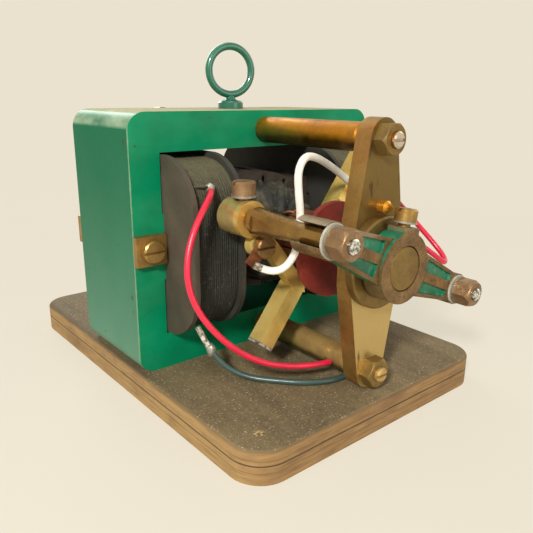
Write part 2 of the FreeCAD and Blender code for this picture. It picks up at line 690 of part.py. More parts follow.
def make_armature():
    nose = bracket_face - d.flange_thick - d.spigot_long + d.cap_wall
    shaft_front = nose + d.shaft_end_gap
    shaft_back = rear_bracket_front + d.bracket_thick + d.flange_thick + d.shaft_past
    r = d.shaft_dia / 2
    long = shaft_back - shaft_front
    end = d.shaft_end_dia / 2
    step = long - d.shaft_end_long
    shaft = turned("shaft", [(0, 0), (r - 0.6, 0), (r, 0.6), (r, step), (end, step), (end, long - 0.6),
                             (end - 0.6, long), (0, long)])
    place(shaft, 0, shaft_front, axis_z, -90, (1, 0, 0))
    keep(shaft, "shaft")

    core = new_body("core")
    outline = Profile(core, "XZ_Plane").circle(0, 0, d.core_dia).circle(0, 0, d.shaft_dia)
    pad(core, outline, d.yoke_depth, both=True)
    slot = Profile(core, "XZ_Plane")
    bottom = d.core_dia / 2 - d.slot_down
    slot.box(-d.slot_open / 2, bottom, d.slot_open / 2, d.core_dia / 2 + 1)
    cut = pocket(core, slot, both=True)
    ring = core.newObject("PartDesign::PolarPattern", "core_slot_ring")
    ring.Originals = [cut]
    ring.Axis = (plane_of(core, "Y_Axis"), [""])
    ring.Angle = 360
    bind(ring, "Occurrences", d.core_slots)
    core.Tip = ring
    place(core, 0, yoke_mid, axis_z)
    doc.recompute()
    keep(core, "armature_core")

    big, hub, run = d.winding_dia / 2, d.winding_hub / 2, d.winding_long
    for word, y, turn in (("front", yoke_front, 90), ("rear", yoke_back, -90)):
        ends = turned(f"winding_{word}", [
            (r, 0), (big, 0), (big, run * 0.5), (big - 4, run * 0.85), (hub, run), (r + 1.2, run), (r, run - 1.2)])
        place(ends, 0, y, axis_z, turn, (1, 0, 0))
        keep(ends, f"armature_winding_{word}")

    outer, inner = d.comm_dia / 2, d.comm_dia / 2 - d.comm_wall
    hub = turned("comm_hub", [(r, 0), (inner, 0), (inner, d.comm_long), (r, d.comm_long)])
    place(hub, 0, comm_back, axis_z, 90, (1, 0, 0))
    keep(hub, "commutator_hub")
    bars = new_body("comm_bars")
    pad(bars, Profile(bars, "XZ_Plane").circle(0, 0, d.comm_dia).circle(0, 0, 2 * inner), d.comm_long)
    gap = Profile(bars, "XZ_Plane")
    gap.box(-d.comm_gap / 2, inner + 0.8, d.comm_gap / 2, outer + 1)
    cut = pocket(bars, gap, both=True)
    ring = bars.newObject("PartDesign::PolarPattern", "comm_gap_ring")
    ring.Originals = [cut]
    ring.Axis = (plane_of(bars, "Y_Axis"), [""])
    ring.Angle = 360
    bind(ring, "Occurrences", d.comm_bars)
    bars.Tip = ring
    place(bars, 0, comm_back, axis_z)
    doc.recompute()
    keep(bars, "commutator_bars")

    disc = turned("disc", [(r, -d.disc_gap), (d.disc_hub / 2, -d.disc_gap), (d.disc_hub / 2, 0),
                           (d.disc_dia / 2, 0), (d.disc_dia / 2, d.disc_thick), (r, d.disc_thick)])
    place(disc, 0, disc_back, axis_z, 90, (1, 0, 0))
    keep(disc, "fibre_disc")


# Brush rocker: hub, two arms with sunk panels and ribs, open-sided eyes and a clamp lug

def make_rocker():
    body = new_body("rocker")
    hub_r = d.hub_dia / 2
    hub = Profile(body, "XZ_Plane").circle(0, 0, d.hub_dia)
    pad(body, hub, d.hub_thick)
    arms = Profile(body, "XZ_Plane", lift=d.hub_thick - d.arm_drop - d.arm_thick)
    rx, root_half, tip_half = d.arm_radius, d.arm_root / 2, d.arm_tip / 2
    arms.outline([(-rx, -tip_half), (0, -root_half), (rx, -tip_half), (rx, tip_half), (0, root_half),
                  (-rx, tip_half)])
    pad(body, arms, d.arm_thick)
    for side in (-1, 1):
        eye = Profile(body, "XZ_Plane", lift=d.hub_thick - d.arm_drop - d.eye_boss_long)
        eye.circle(side * rx, 0, d.eye_boss_dia)
        pad(body, eye, d.eye_boss_long)
    lug = Profile(body, "XZ_Plane", lift=1)
    far = hub_r + d.lug_rise
    c, s, w = cosine(d.lug_angle), sine(d.lug_angle), d.lug_wide / 2
    lug.outline([(-w * s, w * c), (w * s, -w * c), (far * c + w * s, far * s - w * c),
                 (far * c - w * s, far * s + w * c)])
    pad(body, lug, d.hub_thick - 1)
    bore = Profile(body, "XZ_Plane").circle(0, 0, d.spigot_dia + 2 * d.rocker_bore_gap)
    pocket(body, bore, both=True)
    slots = Profile(body, "XZ_Plane")
    thin = d.spindle_thin / 2 + 0.15
    for side in (-1, 1):
        outer = side * (rx + d.eye_boss_dia)
        slots.outline([(outer, -thin), (outer, thin), (side * rx, thin),
                       (side * rx - side * thin, 0, thin, side), (side * rx, -thin, thin, side)])
    pocket(body, slots, both=True)
    panels = Profile(body, "XZ_Plane", lift=d.hub_thick - d.arm_drop)
    near, end, rim, rib = d.panel_start, d.panel_end, d.panel_rim, d.rib_wide / 2
    drop = (root_half - tip_half) / rx
    for side in (-1, 1):
        for flip in (-1, 1):
            panels.outline([
                (side * near, flip * rib), (side * end, flip * rib),
                (side * end, flip * (root_half - drop * end - rim)),
                (side * near, flip * (root_half - drop * near - rim))])
    pocket(body, panels, d.panel_deep)
    clamp = Profile(body, "XY_Plane")
    place(body, 0, hub_back, axis_z, d.rocker_angle)
    body.removeObject(clamp.sketch)
    doc.removeObject(clamp.sketch.Name)
    doc.recompute()
    hole = doc.addObject("Part::Cylinder", "rocker_clamp_hole")
    bind(hole, "Radius", d.clamp_dia / 2 + d.thread_clear)
    bind(hole, "Height", d.hub_dia)
    place_on_lug(hole, Size.of(0))
    keep(combine("Cut", "rocker_drilled", body, hole), "brush_rocker")


clamp_y = hub_back - d.hub_thick / 2 - 0.5


def place_on_lug(obj, out):
    """Stands a piece on the lug's own axis, out millimetres from the shaft's axis."""
    tilt = 90 - d.lug_angle + d.rocker_angle
    x = out * cosine(d.lug_angle - d.rocker_angle)
    z = out * sine(d.lug_angle - d.rocker_angle)
    return place(obj, x, clamp_y, axis_z + z, tilt)


def washer(name, dia, bore, thick):
    r, inner = Size.of(dia) / 2, Size.of(bore) / 2
    return turned(name, [(inner, 0), (r, 0), (r, thick), (inner, thick)])


def make_rocker_clamp():
    seat = d.hub_dia / 2 + d.lug_rise
    grip = seat - d.spigot_dia / 2 - 0.3
    bolt = screw("clamp_screw_bolt", d.clamp_dia, grip + d.clamp_stand + d.clamp_washer_thick,
                 d.clamp_head_dia, d.clamp_head_high)
    place_on_lug(bolt, seat + d.clamp_stand + d.clamp_washer_thick)
    ring = washer("clamp_washer", d.clamp_washer_dia, d.clamp_dia + 0.2, d.clamp_washer_thick)
    place_on_lug(ring, seat + d.clamp_stand)
    keep(bolt, "rocker_clamp_screw")
    keep(ring, "rocker_clamp_washer")


# Brush spindles and their nuts

def on_arm(obj, y, out=None, across=0, side=1, turn=None, about=(0, 1, 0)):
    """Places a piece by its distance out along the rocker's arm and across it."""
    out = d.arm_radius if out is None else Size.of(out)
    across = Size.of(across)
    c, s = cosine(d.rocker_angle), sine(d.rocker_angle)
    x = side * (out * c + across * s)
    z = side * (across * c - out * s)
    return place(obj, x, y, axis_z + z, turn, about)


spindle_shoulder = yoke_front - d.spindle_back
stud_end = eye_front - d.mica_thick - d.steel_washer - d.spindle_nut_high - d.spindle_past


def make_spindles():
    nuts, micas, steels = [], [], []
    for side, word in ((-1, "left"), (1, "right")):
        thick, thin = d.spindle_thick / 2, d.spindle_thin / 2
        journal, stud = d.journal_dia / 2, d.spindle_stud / 2
        body_long = spindle_shoulder - eye_front
        tip = spindle_shoulder - stud_end
        taper_end = spindle_shoulder - eye_back - 1
        spindle = turned(f"spindle_{word}_bar", [
            (0, -d.journal_long), (journal - 0.5, -d.journal_long), (journal, 0.5 - d.journal_long), (journal, 0),
            (thick - 0.8, 0.6), (thick, d.shoulder_long), (thin, taper_end), (thin, body_long),
            (stud, body_long), (stud, tip - 0.5), (stud - 0.5, tip), (0, tip)])
        flat = Profile(spindle, "XZ_Plane")
        flat.box(-thick - 1, d.shoulder_long + 1.5, -thick + 0.9, taper_end)
        pocket(spindle, flat, both=True)
        on_arm(spindle, spindle_shoulder, side=side, turn=90, about=(1, 0, 0))
        keep(spindle, f"brush_spindle_{word}")
        mica = washer(f"mica_{word}", d.washer_dia, d.spindle_stud + 0.2, d.mica_thick)
        on_arm(mica, eye_front, side=side, turn=90, about=(1, 0, 0))
        micas.append(mica)
        steel = washer(f"steel_{word}", d.washer_dia - 0.6, d.spindle_stud + 0.2, d.steel_washer)
        on_arm(steel, eye_front - d.mica_thick, side=side, turn=90, about=(1, 0, 0))
        steels.append(steel)
        nut = hex_nut(f"spindle_{word}", d.spindle_nut_flats, d.spindle_nut_high, d.spindle_stud + 0.2)
        on_arm(nut, eye_front - d.mica_thick - d.steel_washer, side=side, turn=90, about=(1, 0, 0))
        nuts.append(nut)
    keep(compound("spindle_nuts_set", nuts), "spindle_nuts")
    keep(compound("mica_set", micas), "mica_washers")
    keep(compound("steel_set", steels), "steel_washers")


# Brush holders, brushes and springs

brush_c, brush_s = sine(d.brush_angle), cosine(d.brush_angle)


def on_brush(obj, reach, side):
    """Places a piece on the brush's line, with its own +Z pointing away from the shaft."""
    out, across = reach * brush_c, reach * brush_s
    tilt = d.rocker_angle + d.brush_angle + (0 if side > 0 else 180)
    return on_arm(obj, comm_mid, out, across, side, tilt)


def square_bar(name, side_long, length):
    body = new_body(name)
    half = Size.of(side_long) / 2
    pad(body, Profile(body, "XY_Plane").box(-half, -half, half, half), length)
    return body


def make_holders():
    for side, word in ((-1, "left"), (1, "right")):
        barrel_front = spindle_shoulder + 0.3
        barrel = cylinder(f"barrel_{word}", d.barrel_dia, d.barrel_long, 0, 0, 0, "Y")
        on_arm(barrel, barrel_front, side=side, turn=-90, about=(1, 0, 0))
        bar = arm_bar(word)
        bar_front = barrel_front
        on_arm(bar, bar_front + d.bar_thick, side=side, turn=arm_turn(side))
        tube = square_bar(f"tube_{word}", d.tube_side, d.tube_long)
        on_brush(tube, d.tube_start, side)
        whole = combine("Fuse", f"holder_{word}_whole", barrel, bar, tube)
        bore = square_bar(f"tube_bore_{word}", d.tube_side - 2 * d.tube_wall, d.tube_long - d.tube_cap + 1)
        on_brush(bore, d.tube_start - 1, side)
        hole = cylinder(f"barrel_bore_{word}", d.journal_dia + 2 * d.barrel_clear, d.barrel_long + 2, 0, 0, 0, "Y")
        on_arm(hole, barrel_front - 1, side=side, turn=-90, about=(1, 0, 0))
        drill = cylinder(f"terminal_hole_{word}", d.terminal_dia + 0.2, d.bar_thick + 4, 0, 0, 0, "-Y")
        terminal_place(drill, bar_front + d.bar_thick + 2, side)
        screw_hole = cylinder(f"holder_hole_{word}", d.holder_screw_dia + 0.2, d.barrel_dia)
        on_arm(screw_hole, clamp_screw_y, side=side, turn=0 if side < 0 else 180)
        tools = combine("Fuse", f"holder_{word}_tools", bore, hole, drill, screw_hole)
        keep(combine("Cut", f"holder_{word}_bored", whole, tools), f"brush_holder_{word}")

        grip = d.barrel_dia / 2 - d.journal_dia / 2 - 0.3
        seat = d.barrel_dia / 2 + d.holder_stand
        bolt = screw(f"holder_bolt_{word}", d.holder_screw_dia, grip + d.holder_stand + d.holder_washer_thick,
                     d.holder_head_dia, d.holder_head_high)
        ring = washer(f"holder_ring_{word}", d.holder_washer_dia, d.holder_screw_dia + 0.2, d.holder_washer_thick)
        lift = seat + d.holder_washer_thick
        flip = 0 if side < 0 else 180
        on_arm(bolt, clamp_screw_y, side=side, turn=flip)
        bind(bolt, "Placement.Base.z", arm_z(side) - side * lift)
        on_arm(ring, clamp_screw_y, side=side, turn=flip)
        bind(ring, "Placement.Base.z", arm_z(side) - side * seat)
        keep(bolt, f"holder_clamp_screw_{word}")
        keep(ring, f"holder_clamp_washer_{word}")

        terminal = screw(f"terminal_{word}_bolt", d.terminal_dia, d.bar_thick + d.tag_thick - 0.4,
                         d.terminal_head_dia, d.terminal_head_high)
        terminal_place(terminal, bar_front - d.tag_thick, side, turn=90)
        keep(terminal, f"terminal_screw_{word}")
        tag = new_body(f"tag_{word}")
        outline = Profile(tag, "XZ_Plane")
        half = d.tag_wide / 2
        outline.outline([(0, -half, half, 1), (half, 0, half, 1), (half, d.tag_long), (-half, d.tag_long), (-half, 0)])
        outline.circle(0, 0, d.terminal_dia + 0.2)
        pad(tag, outline, d.tag_thick)
        terminal_place(tag, bar_front, side, turn=d.tag_turn + (180 if side < 0 else 0), about=(0, 1, 0))
        keep(tag, f"terminal_tag_{word}")


clamp_screw_y = spindle_shoulder + 0.3 + d.holder_head_dia / 2 + 0.3


def arm_z(side):
    return axis_z - side * d.arm_radius * sine(d.rocker_angle)


bar_out = d.arm_radius - d.bar_meets * brush_c
bar_up = d.bar_meets * brush_s
bar_run = root((bar_out * bar_out) + (bar_up * bar_up))
bar_angle_value = math.degrees(math.atan2(bar_up.value, bar_out.value))
bar_angle = Size(bar_angle_value, f"(atan({bar_up.text} / {bar_out.text}) / 1 deg)")


def arm_turn(side):
    return d.rocker_angle + bar_angle + (180 if side > 0 else 0)


def arm_bar(word):
    """A flat bar from the spindle to the brush tube, ending in a point."""
    body = new_body(f"bar_{word}")
    half = d.bar_wide / 2
    end = bar_run + d.bar_past
    profile = Profile(body, "XZ_Plane")
    profile.outline([(0, -half), (end - half, -half), (end + half, 0), (end - half, half), (0, half)])
    pad(body, profile, d.bar_thick)
    ear = Profile(body, "XZ_Plane").circle(d.terminal_at, -d.terminal_side, d.terminal_head_dia)
    pad(body, ear, d.bar_thick)
    return body


def terminal_place(obj, y, side, turn=90, about=(1, 0, 0)):
    c, s = cosine(bar_angle), sine(bar_angle)
    out = d.arm_radius - d.terminal_at * c + d.terminal_side * s
    return on_arm(obj, y, out, d.terminal_at * s + d.terminal_side * c, side, turn, about)


def make_brushes():
    for side, word in ((-1, "left"), (1, "right")):
        reach = d.comm_dia / 2 + d.brush_seat
        inside = d.tube_side - 2 * d.tube_wall - 2 * d.brush_clear
        stock = square_bar(f"brush_{word}_stock", inside, d.brush_long + 1)
        on_brush(stock, reach - 1, side)
        drum = cylinder(f"brush_{word}_face", d.comm_dia + 2 * d.brush_seat, d.comm_long, 0, comm_back + 0,
                        axis_z, "-Y")
        keep(combine("Cut", f"brush_{word}_cut", stock, drum), f"brush_{word}")
        make_spring(side, word, reach + d.brush_long)


def make_spring(side, word, start):
    """A push spring from the brush's tail to the tube's closed end, one unbroken wire."""
    end = d.tube_start + d.tube_long - d.tube_cap
    wire = d.spring_wire.value / 2
    low, high = wire + 0.05, end.value - start.value - wire - 0.05
    radius = d.spring_dia.value / 2 - wire
    turns = int(d.spring_turns.value)
    pitch = (high - low) / turns
    steps = 2 * turns
    grade = pitch / (2 * math.pi * radius)
    slope = math.sqrt(1 + grade * grade)

    def spot(i):
        a = math.pi * i
        return FreeCAD.Vector(radius * math.cos(a), radius * math.sin(a), low + pitch * i / 2)

    def aim(i):
        a = math.pi * i
        return FreeCAD.Vector(-math.sin(a), math.cos(a), grade) * (1 / slope)

    edges = []
    for i in range(steps):
        edges += biarc(spot(i), aim(i), spot(i + 1), aim(i + 1))
    section = Part.Wire([Part.Circle(spot(0), aim(0), wire).toShape()])
    coil = Part.Wire(edges).makePipeShell([section], True, False)
    holder = doc.addObject("Part::Feature", f"spring_{word}_coil")
    holder.Shape = coil
    on_brush(holder, start, side)
    print(f"brush spring {word}: pitch {pitch:.2f}, least gap {pitch - 2 * wire:.2f} mm")
    keep(holder, f"brush_spring_{word}")


# Leads: each a round tube along straight runs joined by tangent arcs

def yoke_frame(points):
    """Points written from the yoke's front face, its middle and the board's top."""
    return [FreeCAD.Vector(x, yoke_front.value + y, board_top.value + z) for x, y, z in points]


def lead(label, points, dia):
    corners = yoke_frame(points)
    radius = dia.value / 2
    edges = []
    radii = []
    last = corners[0]
    for before, corner, after in zip(corners, corners[1:], corners[2:]):
        into, out = corner - before, after - corner
        shorter = min(into.Length, out.Length)
        into.normalize()
        out.normalize()
        half = math.acos(max(-1, min(1, into.dot(out)))) / 2
        bend = 0.45 * shorter / math.tan(half)
        radii.append(bend)
        reach = 0.45 * shorter
        a, b = corner - into * reach, corner + out * reach
        inward = (out - into).normalize()
        centre = corner + inward * (bend / math.cos(half))
        mid = centre - inward * bend
        edges.append(Part.LineSegment(last, a).toShape())
        edges.append(Part.Arc(a, mid, b).toShape())
        last = b
    edges.append(Part.LineSegment(last, corners[-1]).toShape())
    path = Part.Wire(edges)
    start = (corners[1] - corners[0]).normalize()
    section = Part.Wire([Part.Circle(corners[0], start, radius).toShape()])
    tube = path.makePipeShell([section], True, False)
    wanted = math.pi * radius ** 2 * path.Length
    print(f"{label}: length {path.Length:.0f}, least radius {min(radii):.1f}, volume {tube.Volume / wanted:.4f}")
    holder = doc.addObject("Part::Feature", label + "_tube")
    holder.Shape = tube
    keep(holder, label)


RED_LEAD = [(-38.3, -17.2, 71.4), (-40.8, -21.6, 70.6), (-45.4, -24.2, 66.9), (-50.6, -25.8, 60.6),
            (-54.6, -27.2, 52.6), (-56.2, -29.0, 44.0), (-54.8, -31.4, 35.5), (-50.2, -34.2, 27.0),
            (-42.6, -36.9, 18.6), (-32.6, -39.9, 11.8), (-21.6, -43.0, 8.4), (-12.2, -45.8, 7.4),
            (-6.3, -46.8, 7.2)]
GREEN_LEAD = [(-42.4, -12.9, 19.6), (-41.6, -16.6, 14.6), (-39.6, -19.6, 9.4), (-36.2, -23.6, 4.6),
              (-31.2, -29.2, 1.6), (-24.8, -36.6, 1.25), (-17.6, -44.4, 1.25), (-9.2, -49.6, 1.2), (1.0, -50.6, 1.2),
              (12.0, -47.8, 1.25), (22.2, -41.4, 1.25), (30.2, -33.6, 1.6), (35.6, -26.6, 4.6), (39.4, -20.8, 9.4),
              (41.6, -16.6, 14.6), (42.4, -12.9, 19.6)]
RIGHT_LEAD = [(38.3, -17.2, 71.4), (40.8, -21.6, 70.4), (44.8, -25.6, 65.6), (49.4, -30.6, 58.4),
              (53.6, -37.0, 50.6), (56.8, -43.8, 43.2), (57.2, -50.0, 37.8), (53.2, -53.4, 36.0),
              (46.6, -52.4, 39.0), (40.6, -48.4, 42.2), (34.8, -42.6, 43.6), (30.6, -38.6, 42.8)]
WHITE_LEAD = [(-34.4, -36.6, 47.4), (-30.8, -39.4, 45.2), (-26.8, -42.4, 45.8), (-23.8, -44.4, 50.0),
              (-22.6, -45.4, 56.6), (-22.4, -45.8, 64.4), (-23.6, -45.8, 72.2), (-23.6, -45.2, 79.0),
              (-19.6, -44.0, 83.4), (-12.8, -42.2, 82.6), (-3.2, -39.8, 78.8), (6.6, -38.4, 73.4),
              (16.0, -37.9, 67.2), (24.4, -37.2, 61.6), (31.2, -33.2, 58.6), (35.6, -27.6, 58.2),
              (37.6, -21.2, 58.8)]


def make_leads():
    lead("red_lead", RED_LEAD, d.lead_dia)
    lead("green_lead", GREEN_LEAD, d.lead_dia)
    lead("red_lead_right", RIGHT_LEAD, d.lead_dia)
    lead("white_lead", WHITE_LEAD, d.sleeve_dia)


def write_parts():
    doc.recompute()
    for obj in doc.Objects:
        bad = [state for state in obj.State if state in ("Invalid", "Error")]
        if bad:
            raise RuntimeError(f"{obj.Name} ({obj.Label}) is {bad}")
    for node in nodes:
        if node.Shape.isNull() or not node.Shape.isValid():
            raise RuntimeError(f"{node.Label} has no valid shape")
    os.makedirs("parts", exist_ok=True)
    for node in nodes:
        node.Shape.exportStep(f"parts/{node.Label}.step")
    print(len(nodes), "parts written")


make_board()
make_base_screws()
make_yoke()
make_eyebolt()
make_pole(-1, "pole_left")
make_pole(1, "pole_right")
make_coil(-1, "left")
make_coil(1, "right")
make_straps()
for front in (True, False):
    for top in (True, False):
        make_pillar(f"pillar_{'front' if front else 'rear'}_{'top' if top else 'low'}", front, top)
make_pillar_nuts()
make_bracket("front_bracket", bracket_back)
make_bracket("rear_bracket", rear_bracket_front + d.bracket_thick)
make_bearings()
make_oiler()
make_armature()
make_rocker()
make_rocker_clamp()
make_spindles()
make_holders()
make_brushes()
make_leads()
write_parts()
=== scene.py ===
import json
import math
import bmesh
import bpy
from mathutils import Matrix, Vector
from mathutils import noise as wobble


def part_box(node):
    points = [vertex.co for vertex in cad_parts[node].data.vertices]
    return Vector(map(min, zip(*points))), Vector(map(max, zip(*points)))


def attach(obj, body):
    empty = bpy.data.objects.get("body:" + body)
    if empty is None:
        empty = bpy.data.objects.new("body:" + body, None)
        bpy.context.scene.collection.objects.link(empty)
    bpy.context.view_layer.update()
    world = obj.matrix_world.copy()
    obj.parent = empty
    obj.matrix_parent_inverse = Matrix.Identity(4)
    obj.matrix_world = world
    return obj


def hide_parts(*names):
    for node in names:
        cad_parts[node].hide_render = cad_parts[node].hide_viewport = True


bl_info = {
    "name": "Open-yoke motor finish",
    "version": (1, 0, 0),
    "blender": (4, 5, 0),
    "location": "3D View > Sidebar > Motor",
    "description": "Finishes the packed model of a small open-yoke electric motor on a plywood base",
    "category": "Object",
}


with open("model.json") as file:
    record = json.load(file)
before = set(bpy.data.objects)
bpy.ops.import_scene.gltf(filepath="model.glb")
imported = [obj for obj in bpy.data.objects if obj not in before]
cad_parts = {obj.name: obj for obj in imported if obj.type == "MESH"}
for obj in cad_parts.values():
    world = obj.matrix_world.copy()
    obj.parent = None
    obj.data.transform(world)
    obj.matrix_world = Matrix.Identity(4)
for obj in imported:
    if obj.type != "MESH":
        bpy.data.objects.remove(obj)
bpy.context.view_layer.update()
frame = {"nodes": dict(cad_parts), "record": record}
LOOKS = {}
MM = 0.001

# Places that the finishes are painted by, in millimetres in the row frame
SHAFT_HEIGHT = 60.25
BOARD_TOP = 12
YOKE_SIDE = 60
YOKE_FRONT = -18.5
YOKE_DUST_FROM = 107
ARM_REACH = 36.5
ARM_TILT = math.radians(23)
EYE_RADIUS = 6.1
SPINDLE_OUT, SPINDLE_UP = 33.6, 14.25
BARREL_RADIUS, BARREL_FRONT = 7.2, -51.5
BOX_RUN = (-0.6088, -0.7934)
BOX_MOUTH = 43.0
BOARD_DENT = (-49.5, -76.6)

AXIS = Vector((0, 0, SHAFT_HEIGHT * MM))


# Shader maths

class Sock:
    """A number socket that can be added, multiplied and compared like a number."""

    def __init__(self, nodes, out):
        self.nodes = nodes
        self.out = out

    def math(self, kind, *others, clamp=False):
        node = self.nodes.node("Math", (self, *others), operation=kind, use_clamp=clamp)
        return Sock(self.nodes, node.outputs[0])

    def __add__(self, other):
        return self.math("ADD", other)

    def __sub__(self, other):
        return self.math("SUBTRACT", other)

    def __mul__(self, other):
        return self.math("MULTIPLY", other)

    def __rsub__(self, other):
        return self * -1 + other

    __radd__ = __add__
    __rmul__ = __mul__

    def above(self, edge, soft=0.02):
        """0 below the edge, 1 above it, over a soft width."""
        node = self.nodes.node("MapRange", (self, edge - soft, edge + soft, 0, 1), clamp=True)
        return Sock(self.nodes, node.outputs[0])

    def below(self, edge, soft=0.02):
        return 1 - self.above(edge, soft)

    def either(self, other):
        return self.math("MAXIMUM", other)

    def size(self):
        """The number without its sign."""
        return self.math("ABSOLUTE")


def distance(*steps):
    """How far away a point is, from its steps along each axis."""
    total = steps[0] * steps[0]
    for step in steps[1:]:
        total += step * step
    return total.math("SQRT")


class Nodes:
    """A node tree that grows by expressions."""

    def __init__(self, tree):
        self.tree = tree

    def node(self, kind, values=(), **settings):
        """A node of a kind: its settings first, then its sockets, by their order or by name or number."""
        node = self.tree.nodes.new("ShaderNode" + kind)
        for key, value in settings.items():
            setattr(node, key, value)
        for key, value in values.items() if isinstance(values, dict) else enumerate(values):
            self.feed(node.inputs[key], value)
        return node

    def feed(self, socket, value):
        if isinstance(value, Sock):
            value = value.out
        if isinstance(value, bpy.types.NodeSocket):
            self.tree.links.new(value, socket)
        elif isinstance(value, tuple) and len(value) == 3 and socket.type == "RGBA":
            socket.default_value = (*value, 1)
        else:
            socket.default_value = value

    def seen(self):
        """1 for rays from the camera, off polish and through glass; 0 for those that light the motor."""
        rays = self.node("LightPath").outputs
        seen = Sock(self, rays["Is Camera Ray"])
        for kind in ("Is Glossy Ray", "Is Transmission Ray"):
            seen = seen.either(Sock(self, rays[kind]))
        return seen


class Paint(Nodes):
    """One procedural material, built from position, normal and noise."""

    def __init__(self, name):
        self.mat = bpy.data.materials.new(name)
        self.mat.use_nodes = True
        super().__init__(self.mat.node_tree)
        self.shader = next(n for n in self.tree.nodes if n.type == "BSDF_PRINCIPLED")
        self.coords = self.node("TexCoord")

    def place(self):
        """The object's own x, y and z, in millimetres."""
        node = self.node("SeparateXYZ", (self.coords.outputs["Object"],))
        return [Sock(self, out) * 1000 for out in node.outputs]

    def facing(self):
        """The normal's x, y and z."""
        return [Sock(self, out) for out in self.node("SeparateXYZ", (self.coords.outputs["Normal"],)).outputs]

    def noise(self, scale, detail=3, rough=0.55, stretch=(1, 1, 1)):
        """Noise from 0 to 1 whose patches are about 1/scale metres across."""
        placed = self.node("Mapping", {"Vector": self.coords.outputs["Object"], "Scale": stretch})
        node = self.node("TexNoise", {
            "Vector": placed.outputs[0], "Scale": scale, "Detail": detail, "Roughness": rough})
        return Sock(self, node.outputs[0])

    def mix(self, amount, a, b):
        """Colour a where the amount is 0, and b where it is 1."""
        return self.node("Mix", {0: amount, 6: a, 7: b}, data_type="RGBA").outputs[2]

    def finish(self, colour, rough=0.5, metal=0.0, bump=None, depth=0.0002, coat=0.0):
        """Feeds the shader; depth is the height of the bump in metres."""
        self.feed(self.shader.inputs["Base Color"], colour)
        self.feed(self.shader.inputs["Roughness"], rough)
        self.feed(self.shader.inputs["Metallic"], metal)
        if coat:
            self.feed(self.shader.inputs["Coat Weight"], coat)
        if bump is not None:
            node = self.node("Bump", {"Strength": 1, "Distance": depth, "Height": bump})
            self.feed(self.shader.inputs["Normal"], node.outputs[0])
        return self.mat


def rgb(r, g, b):
    """A screen colour, 0 to 255, as linear light."""
    return tuple(((c / 255 + 0.055) / 1.055) ** 2.4 if c > 10 else c / 3294 for c in (r, g, b))


# Finishes

def yoke_enamel(look):
    """Green enamel on the casting: chalky on the flanks, with a painted sheen that pales them towards the
    bottom; worn and carrying a painted highlight at the upward bends; dusty beige on top.
    """
    p = Paint("green_enamel")
    x, y, z = p.place()
    nx, ny, nz = p.facing()
    cloud, fine = p.noise(45), p.noise(420, 4, 0.65)
    deep = p.mix(cloud.above(0.5, 0.2), tuple(look.enamel), tuple(look.enamel_light))
    # The flanks pale towards the bottom: partly faded, chalky paint and partly a painted sheen of light.
    flank = (nx * nx).above(0.5, 0.2)
    fade_and_sheen = (100 - z) * 0.0095 + 0.28 * p.noise(38, 4, 0.6, (1, 1, 0.5))
    fade_and_sheen = fade_and_sheen.math("MINIMUM", 1.0, clamp=True)
    chalk_and_sheen = p.mix(fade_and_sheen * fade_and_sheen, rgb(8, 94, 62), rgb(92, 136, 112))
    colour = p.mix(flank, deep, chalk_and_sheen)

    # Pale streaks on the upward-facing bends: partly worn paint, partly a painted highlight where light
    # catches the rounded edges.
    streak = p.noise(75, 5, 0.6, (1, 0.45, 1))
    bend = nz.above(0.22, 0.08) * nz.below(0.93, 0.04)
    colour = p.mix(bend * streak.above(0.5, 0.13) * 0.7, colour, rgb(166, 184, 156))

    top = nz.above(0.93, 0.04) * z.above(YOKE_DUST_FROM, 0.5)
    patches = p.noise(90, 5, 0.7, (0.4, 1, 1)).above(0.5, 0.2)
    beige = p.mix(patches, rgb(160, 152, 112), rgb(186, 182, 144))
    beige = p.mix(p.noise(800, 3).above(0.63, 0.04) * 0.45, beige, rgb(96, 92, 62))
    colour = p.mix(top, colour, beige)

    edge = distance(x + YOKE_SIDE, y - YOKE_FRONT) + 0.8 * p.noise(160, 4, 0.7)
    colour = p.mix(edge.below(0.7, 0.12) * 0.6, colour, rgb(150, 172, 140))
    chips = p.noise(230, 2, 0.4).above(0.745, 0.008) * (1 - top)
    colour = p.mix(chips * 0.7, colour, rgb(62, 52, 40))
    smear = p.noise(28, 4, 0.6, (1, 1, 2)).above(0.6, 0.1) * ny.below(-0.7, 0.1)
    colour = p.mix(smear * 0.12, colour, rgb(96, 150, 112))
    rough = 0.26 + 0.16 * cloud + 0.2 * flank + 0.45 * top
    p.shader.inputs["Specular IOR Level"].default_value = 0.15
    return p.finish(colour, rough.math("MINIMUM", 0.9), 0.0, fine + 0.6 * chips, 0.00009)


def eyebolt_enamel():
    """Glossier and darker green, with a few brown specks."""
    p = Paint("eye_enamel")
    cloud, fine = p.noise(45), p.noise(420, 4, 0.65)
    colour = p.mix(cloud.above(0.5, 0.2), rgb(4, 82, 60), rgb(12, 104, 78))
    colour = p.mix(p.noise(500, 3).above(0.67, 0.03) * 0.5, colour, rgb(90, 84, 56))
    return p.finish(colour, 0.2 + 0.15 * cloud, 0.0, fine, 0.00006, 0.6)


